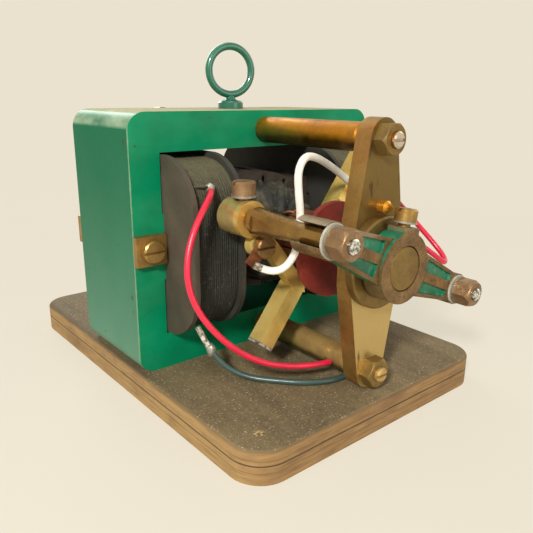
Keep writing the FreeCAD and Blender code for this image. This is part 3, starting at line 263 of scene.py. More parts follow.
def plywood():
    """Dusty brown top with specks and a dent, and edges with the plies' dark glue lines."""
    p = Paint("plywood")
    x, y, z = p.place()
    nx, ny, nz = p.facing()
    grain = p.noise(120, 5, 0.65, (1, 0.12, 1))
    speck, crumb = p.noise(1400, 3, 0.6), p.noise(520, 4, 0.7)
    blotch = p.noise(20, 5, 0.65)
    top = p.mix(blotch.above(0.5, 0.2), rgb(98, 84, 58), rgb(138, 118, 82))
    top = p.mix(grain.below(0.45, 0.12) * 0.45, top, rgb(70, 60, 44))
    top = p.mix(crumb.above(0.57, 0.08) * 0.4, top, rgb(140, 122, 86))
    top = p.mix(speck.above(0.645, 0.02) * 0.75, top, rgb(200, 190, 160))
    top = p.mix(speck.below(0.345, 0.03) * 0.7, top, rgb(44, 36, 26))
    dent = distance(x - BOARD_DENT[0], y - BOARD_DENT[1])
    splinters = p.mix(p.noise(900, 3).above(0.5, 0.08), rgb(70, 52, 36), rgb(204, 176, 116))
    top = p.mix((dent + 3.5 * crumb).below(3.5, 0.25) * 0.8, top, splinters)
    # The board is darker in a strip along the yoke's sides.
    foot = (x.size() - YOKE_SIDE).size()
    darker_by_yoke = (foot + 5 * p.noise(60, 4, 0.6)).below(4.6, 1.6) * y.above(-24, 3)
    top = p.mix(darker_by_yoke * 0.55, top, rgb(52, 38, 26))

    along = p.noise(70, 6, 0.65, (1, 1, 9))
    fibre_line = p.noise(420, 4, 0.6, (0.2, 0.2, 2))
    edge = p.mix(along.above(0.5, 0.2), rgb(128, 96, 58), rgb(158, 124, 76))
    edge = p.mix((1 - ny.below(-0.6, 0.3)) * 0.5, edge, rgb(178, 146, 92))
    edge = p.mix(fibre_line.below(0.42, 0.08) * 0.45, edge, rgb(98, 70, 42))
    wander = z + 0.5 * p.noise(30, 2)
    glue_lines = ((6.9, 0.22, 0.9), (8.6, 0.12, 0.45), (4.4, 0.14, 0.5), (2.4, 0.1, 0.3))
    for height, half, strength in glue_lines:
        line = (wander - height).size().below(half, 0.12)
        edge = p.mix(line * strength, edge, rgb(56, 38, 24))
    edge = p.mix(z.above(11.1, 0.5) * 0.6, edge, rgb(74, 56, 38))
    edge = p.mix(p.noise(36, 4, 0.6).above(0.6, 0.08) * 0.4, edge, rgb(92, 60, 46))

    colour = p.mix(nz.above(0.75, 0.15), edge, top)
    colour = p.mix(nz.below(-0.7, 0.2), colour, rgb(150, 120, 80))
    pits = (wander - glue_lines[0][0]).size().below(0.2, 0.15)
    return p.finish(colour, 0.78, 0.0, grain * 0.5 + crumb * 0.5 - pits * 0.8, 0.0003)


def metal(name, light, mid, dark, green=0.25, rough=0.34, scale=70, shine=0.86, lines=None, extra=None,
          soil=0.6, grit=0.00003, even=False):
    """Aged metal: clouded tone, dark tarnish, verdigris specks and fine scratches, or an even polish."""
    p = Paint(name)
    cloud, tarnish, fine = p.noise(scale, 4, 0.6), p.noise(scale * 2.2, 5, 0.7), p.noise(1600, 3, 0.6)
    colour = p.mix(cloud.above(0.5, 0.22), mid, light)
    colour = p.mix(tarnish.above(0.57, 0.12) * soil, colour, dark)
    if green:
        colour = p.mix(p.noise(scale * 4, 3, 0.6).above(0.66, 0.05) * green, colour, rgb(84, 92, 52))
    if extra:
        colour = extra(p, colour)
    if even:
        return p.finish(colour, rough, shine)
    height = fine * 0.4 + p.noise(900, 2, 0.5, lines) if lines else fine
    dull = tarnish.above(0.55, 0.15)
    return p.finish(colour, rough + 0.25 * dull + 0.1 * fine, shine - 0.3 * dull, height, grit)


def pillar_shade_and_tarnish(p, colour):
    """Painted shade, green-black, on the pillars' undersides; green-black tarnish near the yoke; tin on the
    stud's end.
    """
    x, y, z = p.place()
    nx, ny, nz = p.facing()
    # Down-facing sides get a green-black painted shade.
    underside_shade = (0.5 * p.noise(160, 4, 0.7) - nz).above(0.45, 0.2) * y.above(-72, 1)
    colour = p.mix(underside_shade * 0.85, colour, rgb(48, 44, 18))
    near = (y + 10 * p.noise(80, 4)).above(-38, 8) * nz.below(0.35, 0.3)
    colour = p.mix(near * 0.55, colour, rgb(70, 90, 40))
    stud = y.below(-80, 0.2) * ny.below(-0.6, 0.1) * z.above(60, 5)
    return p.mix(stud * 0.8, colour, rgb(196, 192, 176))


def bracket_reflection_and_wear(p, colour):
    """Coppery edges; on the front face a painted olive reflection on the upper part and a painted pale
    reflection on the scratched lower part.
    """
    x, y, z = p.place()
    nx, ny, nz = p.facing()
    face = ny.below(-0.7, 0.1)
    # Painted reflections on the front face: olive on its upper part, pale on its lower part.
    colour = p.mix(face * z.above(62, 4) * 0.75, colour, rgb(104, 86, 42))
    colour = p.mix(face * z.below(56, 4) * 0.75, colour, rgb(200, 174, 112))
    marks = p.noise(240, 3, 0.6, (1, 1, 0.22)).above(0.66, 0.02) * face
    colour = p.mix(marks * 0.7, colour, rgb(70, 52, 30))
    copper = p.noise(70, 3).above(0.6, 0.08) * (1 - face)
    return p.mix(copper * 0.22, colour, rgb(170, 92, 56))


def stud_tin(p, colour):
    """The spindle's threaded end is tinned and scratched, and the brass carries pale patches of painted sheen.
    """
    x, y, z = p.place()
    tin = p.mix(p.noise(900, 3).above(0.5, 0.1), rgb(112, 112, 104), rgb(232, 232, 222))
    colour = p.mix(y.below(-97.2, 0.2), colour, tin)
    # Pale patches of painted sheen on the polished brass.
    painted_sheen = p.noise(50, 3, 0.5).above(0.62, 0.05)
    return p.mix(painted_sheen * 0.3, colour, rgb(214, 200, 160))


def holder_wear(p, colour):
    """The barrel is khaki and matt, the box polished gold with a tinned mouth."""
    x, y, z = p.place()
    up = z - SHAFT_HEIGHT
    left = distance(x + SPINDLE_OUT, up - SPINDLE_UP).below(BARREL_RADIUS, 0.3)
    right = distance(x - SPINDLE_OUT, up + SPINDLE_UP).below(BARREL_RADIUS, 0.3)
    barrel = left.either(right)
    khaki = p.mix(p.noise(90, 4, 0.6).above(0.5, 0.15), rgb(156, 130, 78), rgb(196, 176, 118))
    colour = p.mix(barrel * y.above(BARREL_FRONT, 1.5) * 0.85, colour, khaki)
    ring = barrel * y.below(BARREL_FRONT, 0.2)
    colour = p.mix(ring * 0.6, colour, rgb(196, 144, 62))
    along = (x * BOX_RUN[0] + up * BOX_RUN[1]).size()
    mouth = (along + 0.8 * p.noise(300, 3)).above(BOX_MOUTH, 0.25) * (1 - barrel)
    tin = p.mix(p.noise(500, 3).above(0.5, 0.1), rgb(120, 108, 92), rgb(236, 230, 220))
    return p.mix(mouth, colour, tin)


def rocker_bronze():
    """Green enamel in the recesses and on the flanks; bare bronze where it was faced and bored."""
    p = Paint("rocker_bronze")
    x, y, z = p.place()
    nx, ny, nz = p.facing()
    up = z - SHAFT_HEIGHT
    fine = p.noise(900, 4, 0.65)
    eye_x, eye_z = ARM_REACH * math.cos(ARM_TILT), ARM_REACH * math.sin(ARM_TILT)
    left = distance(x + eye_x, up - eye_z).below(EYE_RADIUS, 0.15)
    right = distance(x - eye_x, up + eye_z).below(EYE_RADIUS, 0.15)
    around = distance(x, up)
    bore = around.below(7.95, 0.05)
    hub_side = around.below(12.4, 0.2) * ny.above(-0.6, 0.1) * nz.below(0.3, 0.2)
    faced = ny.below(-0.7, 0.1) * (y + 0.4 * p.noise(300, 3)).below(-89.35, 0.12)
    lug = z.above(73.2, 0.5)
    worn = p.noise(260, 4, 0.7).above(0.7, 0.02)
    bare = left
    for patch in (right, bore, faced, worn, hub_side * 0.8, lug):
        bare = bare.either(patch)
    bronze = p.mix(p.noise(160, 5, 0.7).above(0.5, 0.18), rgb(98, 72, 44), rgb(146, 116, 76))
    bronze = p.mix(fine.above(0.6, 0.05) * 0.5, bronze, rgb(60, 44, 28))
    bronze = p.mix(lug * 0.5, bronze, rgb(150, 142, 120))
    enamel = p.mix(p.noise(90, 4, 0.6).above(0.5, 0.2), rgb(8, 92, 62), rgb(22, 120, 88))
    enamel = p.mix(p.noise(420, 4, 0.7).above(0.6, 0.04) * 0.35, enamel, rgb(110, 150, 120))
    rough = 0.4 + 0.15 * fine - 0.16 * (1 - bare)
    return p.finish(p.mix(bare, enamel, bronze), rough, bare * 0.75, fine - 0.8 * bare, 0.0001)


def fibre(name, light, dark, speck=None):
    """Matt board or thread with paler specks."""
    p = Paint(name)
    cloud, fine = p.noise(60, 5, 0.65), p.noise(1300, 3, 0.7)
    colour = p.mix(cloud.above(0.5, 0.22), dark, light)
    colour = p.mix(fine.above(0.66, 0.04) * 0.4, colour, speck or tuple(min(1, c * 2.0) for c in light))
    return p.finish(colour, 0.7, 0.0, cloud * 0.4 + fine * 0.6, 0.00012)


def cotton_wire():
    """Cotton covered wire, with dust lying on what faces up."""
    p = Paint("cotton_wire")
    thread = rgb(27, 27, 23)
    nx, ny, nz = p.facing()
    x, y, z = p.place()
    fine, cloud = p.noise(1100, 5, 0.75, (1, 0.4, 1)), p.noise(90, 4, 0.6)
    colour = p.mix(cloud.above(0.5, 0.2), thread, tuple(c * 1.7 for c in thread))
    lying = nz.above(0.45, 0.45) * (0.55 + 0.45 * cloud)
    lying = lying.either(z.above(80, 10) * (0.35 + 0.4 * cloud))
    colour = p.mix(lying * 0.85, colour, rgb(106, 99, 68))
    colour = p.mix(fine.above(0.62, 0.03) * 0.45, colour, rgb(134, 126, 98))
    colour = p.mix(fine.below(0.4, 0.04) * 0.7, colour, rgb(12, 12, 10))
    return p.finish(colour, 0.7, 0.0, fine, 0.0004)


def taped_winding():
    """Black varnished tape round the armature's coil ends, with grey dust and yellow threads."""
    p = Paint("taped_winding")
    nx, ny, nz = p.facing()
    lump, fine = p.noise(240, 5, 0.7), p.noise(1500, 3, 0.7)
    colour = p.mix(lump.above(0.5, 0.12), rgb(14, 14, 13), rgb(50, 49, 43))
    dust = nz.above(0.3, 0.5) * p.noise(130, 4, 0.65).above(0.52, 0.1)
    colour = p.mix(dust * 0.7, colour, rgb(96, 90, 70))
    threads = p.noise(300, 3, 0.6, (1, 0.3, 1)).above(0.66, 0.012)
    colour = p.mix(threads * 0.85, colour, rgb(168, 156, 96))
    return p.finish(colour, 0.5 + 0.3 * fine, 0.0, lump + 0.4 * fine, 0.0011)


def sleeve(name, tone, dark, bare, weave=False):
    """Lead insulation; bare lists spheres, centre and radius, where it is stripped and tinned."""
    p = Paint(name)
    x, y, z = p.place()
    fine, cloud = p.noise(700, 3, 0.6), p.noise(120, 3, 0.6)
    colour = p.mix(cloud.above(0.56, 0.12) * 0.5, tone, dark)
    colour = p.mix(fine.above(0.68, 0.03) * 0.4, colour, rgb(74, 58, 44))
    tin = p.mix(p.noise(500, 3, 0.6).above(0.5, 0.12), rgb(92, 72, 48), rgb(206, 200, 184))
    for (cx, cy, cz), radius in bare:
        colour = p.mix(distance(x - cx, y - cy, z - cz).below(radius, 0.12), colour, tin)
    if weave:
        return p.finish(colour, 0.85, 0.0, p.noise(2600, 2, 0.5), 0.00012)
    return p.finish(colour, 0.3, 0.0, fine, 0.00005)


# Each metal's light, middle and dark tone, and how it differs from the plain aged metal
METALS = {
    "steel": ((180, 176, 162), (136, 130, 114), (78, 68, 54), dict(green=0, rough=0.36)),
    "iron": ((78, 68, 56), (56, 48, 40), (32, 26, 22), dict(green=0, rough=0.6, scale=90, shine=0.4)),
    "aged_brass": ((178, 144, 82), (140, 106, 54), (84, 60, 32), dict(green=0.3, rough=0.3)),
    "bracket_brass": ((184, 146, 82), (142, 106, 54), (96, 66, 36), dict(
        green=0.2, rough=0.3, scale=60, lines=(1, 1, 0.1), extra=bracket_reflection_and_wear)),
    "bronze": ((172, 140, 104), (128, 98, 68), (74, 54, 38), dict(green=0.15, rough=0.36, scale=120)),
    "copper": ((178, 112, 76), (132, 76, 48), (66, 38, 24), dict(green=0.1, scale=150)),
    "terminal_bronze": ((160, 124, 76), (116, 84, 48), (70, 48, 28), dict(green=0.1, rough=0.3, scale=160)),
    "carbon": ((84, 84, 84), (62, 62, 62), (40, 40, 40), dict(green=0, rough=0.5, scale=200, shine=0.4)),
    "spring_steel": ((150, 150, 146), (120, 120, 116), (70, 66, 60), dict(green=0)),
    "pillar_gold": ((200, 138, 32), (164, 100, 18), (100, 58, 16), dict(
        green=0.3, rough=0.24, scale=55, extra=pillar_shade_and_tarnish)),
    "pillar_brown": ((196, 164, 100), (160, 128, 72), (96, 72, 40), dict(
        green=0.4, scale=80, shine=0.6, extra=pillar_shade_and_tarnish)),
    "spindle_brass": ((164, 128, 70), (116, 84, 38), (70, 48, 22), dict(
        green=0, rough=0.14, scale=60, shine=0.95, extra=stud_tin, soil=0.5, grit=0.00001)),
    "bearing_brass": ((150, 124, 68), (118, 92, 48), (84, 62, 36), dict(green=0.1, rough=0.36, scale=90)),
    "holder_brass": ((252, 226, 140), (240, 200, 104), (164, 124, 60), dict(
        green=0, rough=0.25, scale=40, shine=0.6, extra=holder_wear, soil=0.35, even=True)),
    "oiler_gold": ((232, 168, 60), (200, 136, 40), (120, 78, 24), dict(green=0, rough=0.2, scale=200)),
    "solder": ((206, 204, 194), (168, 164, 152), (100, 88, 70), dict(green=0, rough=0.3, scale=300)),
    "bare_copper": ((184, 124, 84), (140, 88, 54), (84, 50, 30), dict(green=0, scale=300)),
}

# Each fibre's light and dark tone, and its specks where they aren't only paler
FIBRES = {
    "fibre_grey": ((80, 70, 56), (52, 45, 36)),
    "fibre_dark": ((56, 54, 46), (34, 32, 28)),
    "red_fibre": ((146, 46, 30), (88, 22, 15), (190, 96, 72)),
    "mica": ((196, 192, 176), (96, 88, 72)),
    "yellow_thread": ((184, 164, 104), (140, 120, 70)),
}

# Where each kind of lead is stripped and tinned: centres and radii in millimetres in the row frame
BARE_ENDS = {
    "red_sleeve": (((-38.3, -35.7, 83.4), 3.4), ((38.3, -35.7, 83.4), 3.4)),
    "green_sleeve": (((-42.4, -31.4, 31.6), 11.2), ((42.4, -31.4, 31.6), 11.2)),
    "white_sleeve": (((-34.4, -55.1, 59.4), 3.0), ((37.6, -39.7, 70.8), 2.6)),
}

# Nodes with a finish of their own, where their slot's finish is too general
OWN_LOOK = {
    "pillar_front_top": "pillar_gold", "pillar_rear_top": "pillar_gold",
    "pillar_front_low": "pillar_brown", "pillar_rear_low": "pillar_brown",
    "front_bracket": "bracket_brass", "rear_bracket": "bracket_brass",
    "brush_spindle_left": "spindle_brass", "brush_spindle_right": "spindle_brass",
    "front_bearing": "bearing_brass", "rear_bearing": "bearing_brass", "pillar_nuts": "bearing_brass",
    "brush_rocker": "rocker_bronze", "eyebolt": "eye_enamel",
    "brush_holder_left": "holder_brass", "brush_holder_right": "holder_brass",
    "coil_cheek_left_inner": "fibre_dark", "coil_cheek_right_inner": "fibre_dark",
    "oil_plug": "oiler_gold",
    "terminal_screw_left": "terminal_bronze", "terminal_screw_right": "terminal_bronze",
}


def make_materials(look):
    """Every finish, by its name."""
    looks = {
        "green_enamel": yoke_enamel(look), "eye_enamel": eyebolt_enamel(), "plywood": plywood(),
        "rocker_bronze": rocker_bronze(), "cotton_wire": cotton_wire(), "taped_winding": taped_winding(),
    }
    for name, (light, mid, dark, ways) in METALS.items():
        looks[name] = metal(name, rgb(*light), rgb(*mid), rgb(*dark), **ways)
    for name, tones in FIBRES.items():
        looks[name] = fibre(name, *(rgb(*tone) for tone in tones))
    for name, tone, dark in (("red_sleeve", look.red, rgb(180, 20, 46)),
                             ("green_sleeve", look.green, rgb(40, 60, 56)),
                             ("white_sleeve", look.white, rgb(206, 200, 178))):
        looks[name] = sleeve(name, tuple(tone), dark, BARE_ENDS[name], weave=name == "white_sleeve")
    return looks


# Making pieces

def new_piece(name, mesh, look, body, replaced=()):
    obj = bpy.data.objects.new(name, mesh)
    bpy.context.scene.collection.objects.link(obj)
    obj.data.materials.clear()
    obj.data.materials.append(LOOKS[look])
    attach(obj, body)
    if replaced:
        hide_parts(*replaced)
    return obj


def close_mesh(bm, name, outward=True, smooth=True):
    """Turns a bmesh into a mesh and frees it."""
    if outward:
        bmesh.ops.recalc_face_normals(bm, faces=bm.faces[:])
    mesh = bpy.data.meshes.new(name)
    bm.to_mesh(mesh)
    bm.free()
    if smooth:
        for face in mesh.polygons:
            face.use_smooth = True
    return mesh


def bridge(bm, one, two):
    """A band of faces between two rings of equal count."""
    for k in range(len(one)):
        j = (k + 1) % len(one)
        bm.faces.new((one[k], one[j], two[j], two[k]))


def stack(bm, rings):
    """Bridges rings in order and closes both ends."""
    for one, two in zip(rings, rings[1:]):
        bridge(bm, one, two)
    bm.faces.new(rings[0][::-1])
    bm.faces.new(rings[-1])


def round_shaft(radius, angle, y):
    """A point at a radius and angle round the shaft, at a depth y, in metres."""
    return AXIS + Vector((radius * math.cos(angle), y, radius * math.sin(angle)))


def tube_mesh(name, paths):
    """Round tubes along lists of (point, radius), each with its number of sides and closed ends."""
    bm = bmesh.new()
    for path, sides in paths:
        rings = []
        last = None
        count = len(path)
        for i, (point, radius) in enumerate(path):
            ahead = path[min(i + 1, count - 1)][0] - path[max(i - 1, 0)][0]
            ahead.normalize()
            if last is None:
                last = ahead.orthogonal().normalized()
            last = (last - ahead * last.dot(ahead)).normalized()
            over = ahead.cross(last)
            angles = (2 * math.pi * k / sides for k in range(sides))
            rings.append([bm.verts.new(point + (last * math.cos(a) + over * math.sin(a)) * radius)
                          for a in angles])
        stack(bm, rings)
    return close_mesh(bm, name)


def blob_mesh(name, blobs):
    """Lumps of solder: icospheres pulled out of round."""
    bm = bmesh.new()
    for centre, size, seed in blobs:
        made = bmesh.ops.create_icosphere(bm, subdivisions=3, radius=1)
        for v in made["verts"]:
            lump = 1 + 0.22 * wobble.noise(v.co * 1.3 + Vector((seed, 0, 0)))
            v.co = Vector(centre) + Vector((v.co.x * size[0], v.co.y * size[1], v.co.z * size[2])) * lump
    return close_mesh(bm, name, outward=False)


def track(half_y, half_z, r, per_corner=6, per_side=5):
    """Points (y, z) round a rectangle with rounded corners, from its centre."""
    points = []
    sides = ((1, -1, -90), (1, 1, 0), (-1, 1, 90), (-1, -1, 180))
    for i, (sy, sz, start) in enumerate(sides):
        cy, cz = sy * (half_y - r), sz * (half_z - r)
        for k in range(per_corner + 1):
            a = math.radians(start + 90 * k / per_corner)
            points.append((cy + r * math.cos(a), cz + r * math.sin(a)))
        ny, nz, next_start = sides[(i + 1) % 4]
        a = math.radians(next_start)
        far = (ny * (half_y - r) + r * math.cos(a), nz * (half_z - r) + r * math.sin(a))
        here = points[-1]
        for k in range(1, per_side):
            points.append(tuple(here[j] + (far[j] - here[j]) * k / per_side for j in (0, 1)))
    return points


# Sizes and colours that a user would change

def length_of(name, description, default):
    return bpy.props.FloatProperty(
        name=name, description=description, default=default, unit="LENGTH", subtype="DISTANCE")


def angle_of(name, description, degrees):
    return bpy.props.FloatProperty(
        name=name, description=description, default=math.radians(degrees), subtype="ANGLE")


def colour_of(name, description, *tone):
    return bpy.props.FloatVectorProperty(
        name=name, description=description, default=rgb(*tone), subtype="COLOR")


class Look(bpy.types.PropertyGroup):
    enamel: colour_of("Enamel", "Green enamel on the yoke's faces", 0, 112, 72)
    enamel_light: colour_of("Light enamel", "Lighter clouds in the enamel", 0, 138, 94)
    red: colour_of("Red", "Insulation of the red leads", 212, 30, 62)
    green: colour_of("Green", "Insulation of the green lead", 62, 84, 78)
    white: colour_of("White", "Woven sleeve of the white lead", 236, 232, 220)
    turns: bpy.props.IntProperty(
        name="Turns", description="Turns in the field coil's outer layer", default=18)
    wire: length_of("Wire", "Diameter over the cotton", 0.00088)
    slack: length_of("Slack", "How far a turn strays", 0.0002)
    lead: length_of("Lead", "Diameter of the insulated leads", 0.0022)
    sleeving: length_of("Sleeving", "Diameter of the woven sleeve", 0.0026)
    bundle: length_of("Bundle", "Radius of one taped armature coil", 0.0019)


class View(bpy.types.PropertyGroup):
    lens: bpy.props.FloatProperty(name="Lens", description="Focal length on a 36 mm sensor", default=38.8)
    azimuth: angle_of("Azimuth", "How far left of the brush gear the camera stands", 39.91)
    tilt: angle_of("Tilt", "How far the camera looks down", 16.67)
    roll: angle_of("Roll", "Camera roll", 0.58)
    place: bpy.props.FloatVectorProperty(
        name="Place", description="Camera position", default=(-0.1499, -0.1995, 0.1144), subtype="TRANSLATION")
    backdrop: colour_of("Backdrop", "Colour behind the motor", 234, 226, 207)


class MOTOR_OT_finishes(bpy.types.Operator):
    """Gives every carried-over part its procedural material"""
    bl_idname = "motor.finishes"
    bl_label = "Part finishes"

    def execute(self, context):
        LOOKS.update(make_materials(context.scene.motor_look))
        slots = {s["node"]: s["material_slot"] for s in frame["record"]["subparts"]}
        for name, obj in frame["nodes"].items():
            obj.data.materials.clear()
            obj.data.materials.append(LOOKS[OWN_LOOK.get(name, slots[name])])
        return {"FINISHED"}


# The field coils' corner radius, and half the pole's hole in y and z with its corner, in metres
COIL_CORNER = 0.0184
POLE_HOLE = (0.0236, 0.0131, 0.001)


def wind_coil(word, look):
    """One layer of turns that stray a little, over the coil's core."""
    underside_shade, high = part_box(f"field_turns_{word}")
    core_low, core_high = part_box(f"field_winding_{word}")
    mid = (underside_shade + high) / 2
    half_y, half_z = (high.y - underside_shade.y) / 2, (high.z - underside_shade.z) / 2
    r = look.wire / 2
    x0, x1 = core_low.x + r * 1.1, core_high.x - r * 1.1
    ring = track(half_y - r - look.slack, half_z - r - look.slack, COIL_CORNER - r)
    path = []
    for i in range(look.turns * len(ring)):
        y, z = ring[i % len(ring)]
        turn = i / len(ring)
        x = x0 + (x1 - x0) * turn / look.turns
        stray = wobble.noise(Vector((turn * 1.7, y * 30, z * 30)))
        out = 1 + look.slack * wobble.noise(Vector((turn * 3.1, y * 22, z * 22 + 7))) / half_z
        path.append((Vector((x + stray * look.slack, mid.y + y * out, mid.z + z * out)), r))
    new_piece(f"winding_{word}", tube_mesh(f"winding_{word}", [(path, 6)]), "cotton_wire", "frame",
              (f"field_turns_{word}",))


def pack_core(word, look):
    """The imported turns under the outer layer, with the pole's hole."""
    underside_shade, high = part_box(f"field_turns_{word}")
    core_low, core_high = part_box(f"field_winding_{word}")
    mid = (underside_shade + high) / 2
    inner = look.wire * 0.62
    rounds = track((high.y - underside_shade.y) / 2 - inner, (high.z - underside_shade.z) / 2 - inner, COIL_CORNER - inner)
    bm = bmesh.new()
    loops = [[bm.verts.new((x, mid.y + y, mid.z + z)) for y, z in shape]
             for x in (core_low.x, core_high.x) for shape in (rounds, track(*POLE_HOLE))]
    for a, b in ((0, 2), (3, 1), (2, 3), (1, 0)):
        bridge(bm, loops[a], loops[b])
    name = f"winding_core_{word}"
    new_piece(name, close_mesh(bm, name, smooth=False), "cotton_wire", "frame",
              (f"field_winding_{word}",))


class MOTOR_OT_field_coils(bpy.types.Operator):
    """Winds the two field coils turn by turn over a packed core"""
    bl_idname = "motor.field_coils"
    bl_label = "Field coils"

    def execute(self, context):
        for word in ("left", "right"):
            wind_coil(word, context.scene.motor_look)
            pack_core(word, context.scene.motor_look)
        return {"FINISHED"}


# The armature has as many coils as commutator bars
COILS = 12


def coil_taper(t):
    """The coil ends' radius against the core's, from 0 at its face to 1 at their far end."""
    return 0.955 - 0.42 * t ** 2.2


def end_hull(word, sign, around=192, steps=30):
    """The taped coil ends as one lobed hull, crossed by tucks that lean the other way."""
    underside_shade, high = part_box(f"armature_winding_{word}")
    face = high.y if sign < 0 else underside_shade.y
    reach = high.y - underside_shade.y
    outer = (high.x - underside_shade.x) / 2
    bm = bmesh.new()
    rings = []
    for i in range(steps + 1):
        t = i / steps
        bulge = math.sin(math.pi * min(1, 0.12 + t * 0.98)) ** 0.4
        base = outer * coil_taper(t) * (0.93 + 0.07 * bulge)
        ring = []
        for k in range(around):
            a = 2 * math.pi * k / around
            coil = abs(math.sin(COILS / 2 * a + 2.6 * t * sign)) ** 0.7
            across = abs(math.sin(COILS / 2 * a - 3.4 * t * sign + 0.6)) ** 0.7
            lump = wobble.noise(Vector((math.cos(a) * 2.6, math.sin(a) * 2.6, t * 2.4 + sign * 3)))
            tuck = wobble.noise(Vector((math.cos(a) * 9, math.sin(a) * 9, t * 7)))
            r = base - 0.0021 * (1 - coil) * (0.3 + t) - 0.0012 * (1 - across) * t
            r = min(r + 0.0008 * lump + 0.0003 * tuck, outer)
            push = 0.0009 * (1 - coil) * math.sin(math.pi * t)
            depth = sign * max(0.0003, reach * (0.02 + 0.95 * math.sin(t * math.pi / 2)) - push)
            ring.append(bm.verts.new(round_shaft(r, a, face + depth)))
        rings.append(ring)
    stack(bm, rings)
    name = f"end_winding_{word}"
    new_piece(name, close_mesh(bm, name), "taped_winding", "armature",
              (f"armature_winding_{word}",))


def end_bundles(word, sign, bundle, steps=10):
    """One taped bundle for each coil, lying along the hull."""
    underside_shade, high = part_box(f"armature_winding_{word}")
    face = high.y if sign < 0 else underside_shade.y
    reach = high.y - underside_shade.y
    outer = (high.x - underside_shade.x) / 2
    paths = []
    for i in range(COILS):
        path = []
        for k in range(steps + 1):
            f = k / steps
            a = math.radians(360 / COILS * i + 9 + 44 * f)
            r = outer * coil_taper(f) - bundle * (0.5 + 0.7 * f)
            depth = sign * (0.0004 + reach * 0.93 * math.sin(f * math.pi / 2))
            path.append((round_shaft(r, a, face + depth),
                         bundle * (1 + 0.15 * wobble.noise(Vector((i, f * 9, sign))))))
        paths.append((path, 10))
    name = f"coil_ends_{word}"
    new_piece(name, tube_mesh(name, paths), "taped_winding", "armature")


def commutator_wires(steps=6):
    """Bare wires from the coil ends to the commutator's bars."""
    bars_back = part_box("commutator_bars")[1].y
    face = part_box("armature_winding_front")[0].y
    paths = []
    for i in range(COILS):
        path = []
        for k in range(steps + 1):
            f = k / steps
            radius = 0.0098 + 0.0012 * math.sin(math.pi * f)
            turn = math.radians(360 / COILS * i + 4) + 0.3 * (1 - f)
            depth = 0.0006 + (bars_back - face - 0.0002) * f
            path.append((round_shaft(radius, turn, face + depth), 0.00055))
        paths.append((path, 6))
    mesh = tube_mesh("commutator_wires", paths)
    new_piece("commutator_wires", mesh, "bare_copper", "armature")


def loose_threads(count=14, steps=5):
    """Ends of binding thread that stand out of the tape."""
    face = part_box("armature_winding_front")[0].y
    paths = []
    for i in range(count):
        path = []
        for k in range(steps + 1):
            f = k / steps
            turn = math.radians(27 * i + 60) + 0.18 * wobble.noise(Vector((i * 3.3, f * 2, 1)))
            r = 0.0196 - 0.006 * f + 0.0012 * wobble.noise(Vector((i * 1.9, f * 3, 4)))
            path.append((round_shaft(r, turn, face + 0.009 * (1 - f) + 0.0016), 0.00016))
        paths.append((path, 5))
    mesh = tube_mesh("loose_threads", paths)
    new_piece("loose_threads", mesh, "yellow_thread", "armature")


class MOTOR_OT_armature_coils(bpy.types.Operator):
    """Shapes the armature's taped coil ends and the wires to the commutator"""
    bl_idname = "motor.armature_coils"
    bl_label = "Armature coils"

    def execute(self, context):
        for word, sign in (("front", -1), ("rear", 1)):
            end_hull(word, sign)
            end_bundles(word, sign, context.scene.motor_look.bundle)
        commutator_wires()
        loose_threads()
        return {"FINISHED"}


# The leads' routes, from the yoke's front face and the board's top, in millimetres
ROUTES = {
    "red_lead": [(-38.3, -17.2, 71.4), (-40.8, -21.6, 70.6), (-45.4, -24.2, 66.9), (-50.6, -25.8, 60.6),
                 (-54.6, -27.2, 52.6), (-56.2, -29.0, 44.0), (-54.8, -31.4, 35.5), (-50.2, -34.2, 27.0),
                 (-42.6, -36.9, 18.6), (-32.6, -39.9, 11.8), (-21.6, -43.0, 8.4), (-12.2, -45.8, 7.4),
                 (-6.3, -46.8, 7.2)],
    "green_lead": [(-42.4, -12.9, 19.6), (-41.6, -16.6, 14.6), (-39.6, -19.6, 9.4), (-36.2, -23.6, 4.6),
                   (-31.2, -29.2, 1.6), (-24.8, -36.6, 1.25), (-17.6, -44.4, 1.25), (-9.2, -49.6, 1.2),
                   (1.0, -50.6, 1.2), (12.0, -47.8, 1.25), (22.2, -41.4, 1.25), (30.2, -33.6, 1.6),
                   (35.6, -26.6, 4.6), (39.4, -20.8, 9.4), (41.6, -16.6, 14.6), (42.4, -12.9, 19.6)],
    "red_lead_right": [(38.3, -17.2, 71.4), (40.8, -21.6, 70.4), (44.8, -25.6, 65.6), (49.4, -30.6, 58.4),
                       (53.6, -37.0, 50.6), (56.8, -43.8, 43.2), (57.2, -50.0, 37.8), (53.2, -53.4, 36.0),
                       (46.6, -52.4, 40.6), (41.0, -48.8, 45.4), (35.4, -42.8, 46.8), (30.6, -38.6, 42.8)],
    "white_lead": [(-34.4, -36.6, 47.4), (-30.8, -39.4, 45.2), (-26.8, -42.4, 45.8), (-23.8, -44.4, 50.0),
                   (-22.6, -45.4, 56.6), (-22.4, -45.8, 64.4), (-23.6, -45.8, 72.2), (-23.6, -45.2, 79.0),
                   (-19.6, -44.0, 83.4), (-12.8, -42.2, 82.6), (-3.2, -39.8, 78.8), (6.6, -38.4, 73.4),
                   (16.0, -37.9, 67.2), (24.4, -37.2, 61.6), (31.2, -33.2, 58.6), (35.6, -27.6, 58.2),
                   (37.6, -21.2, 58.8)],
}
LEAD_LOOK = {"red_lead": "red_sleeve", "green_lead": "green_sleeve", "red_lead_right": "red_sleeve",
             "white_lead": "white_sleeve"}

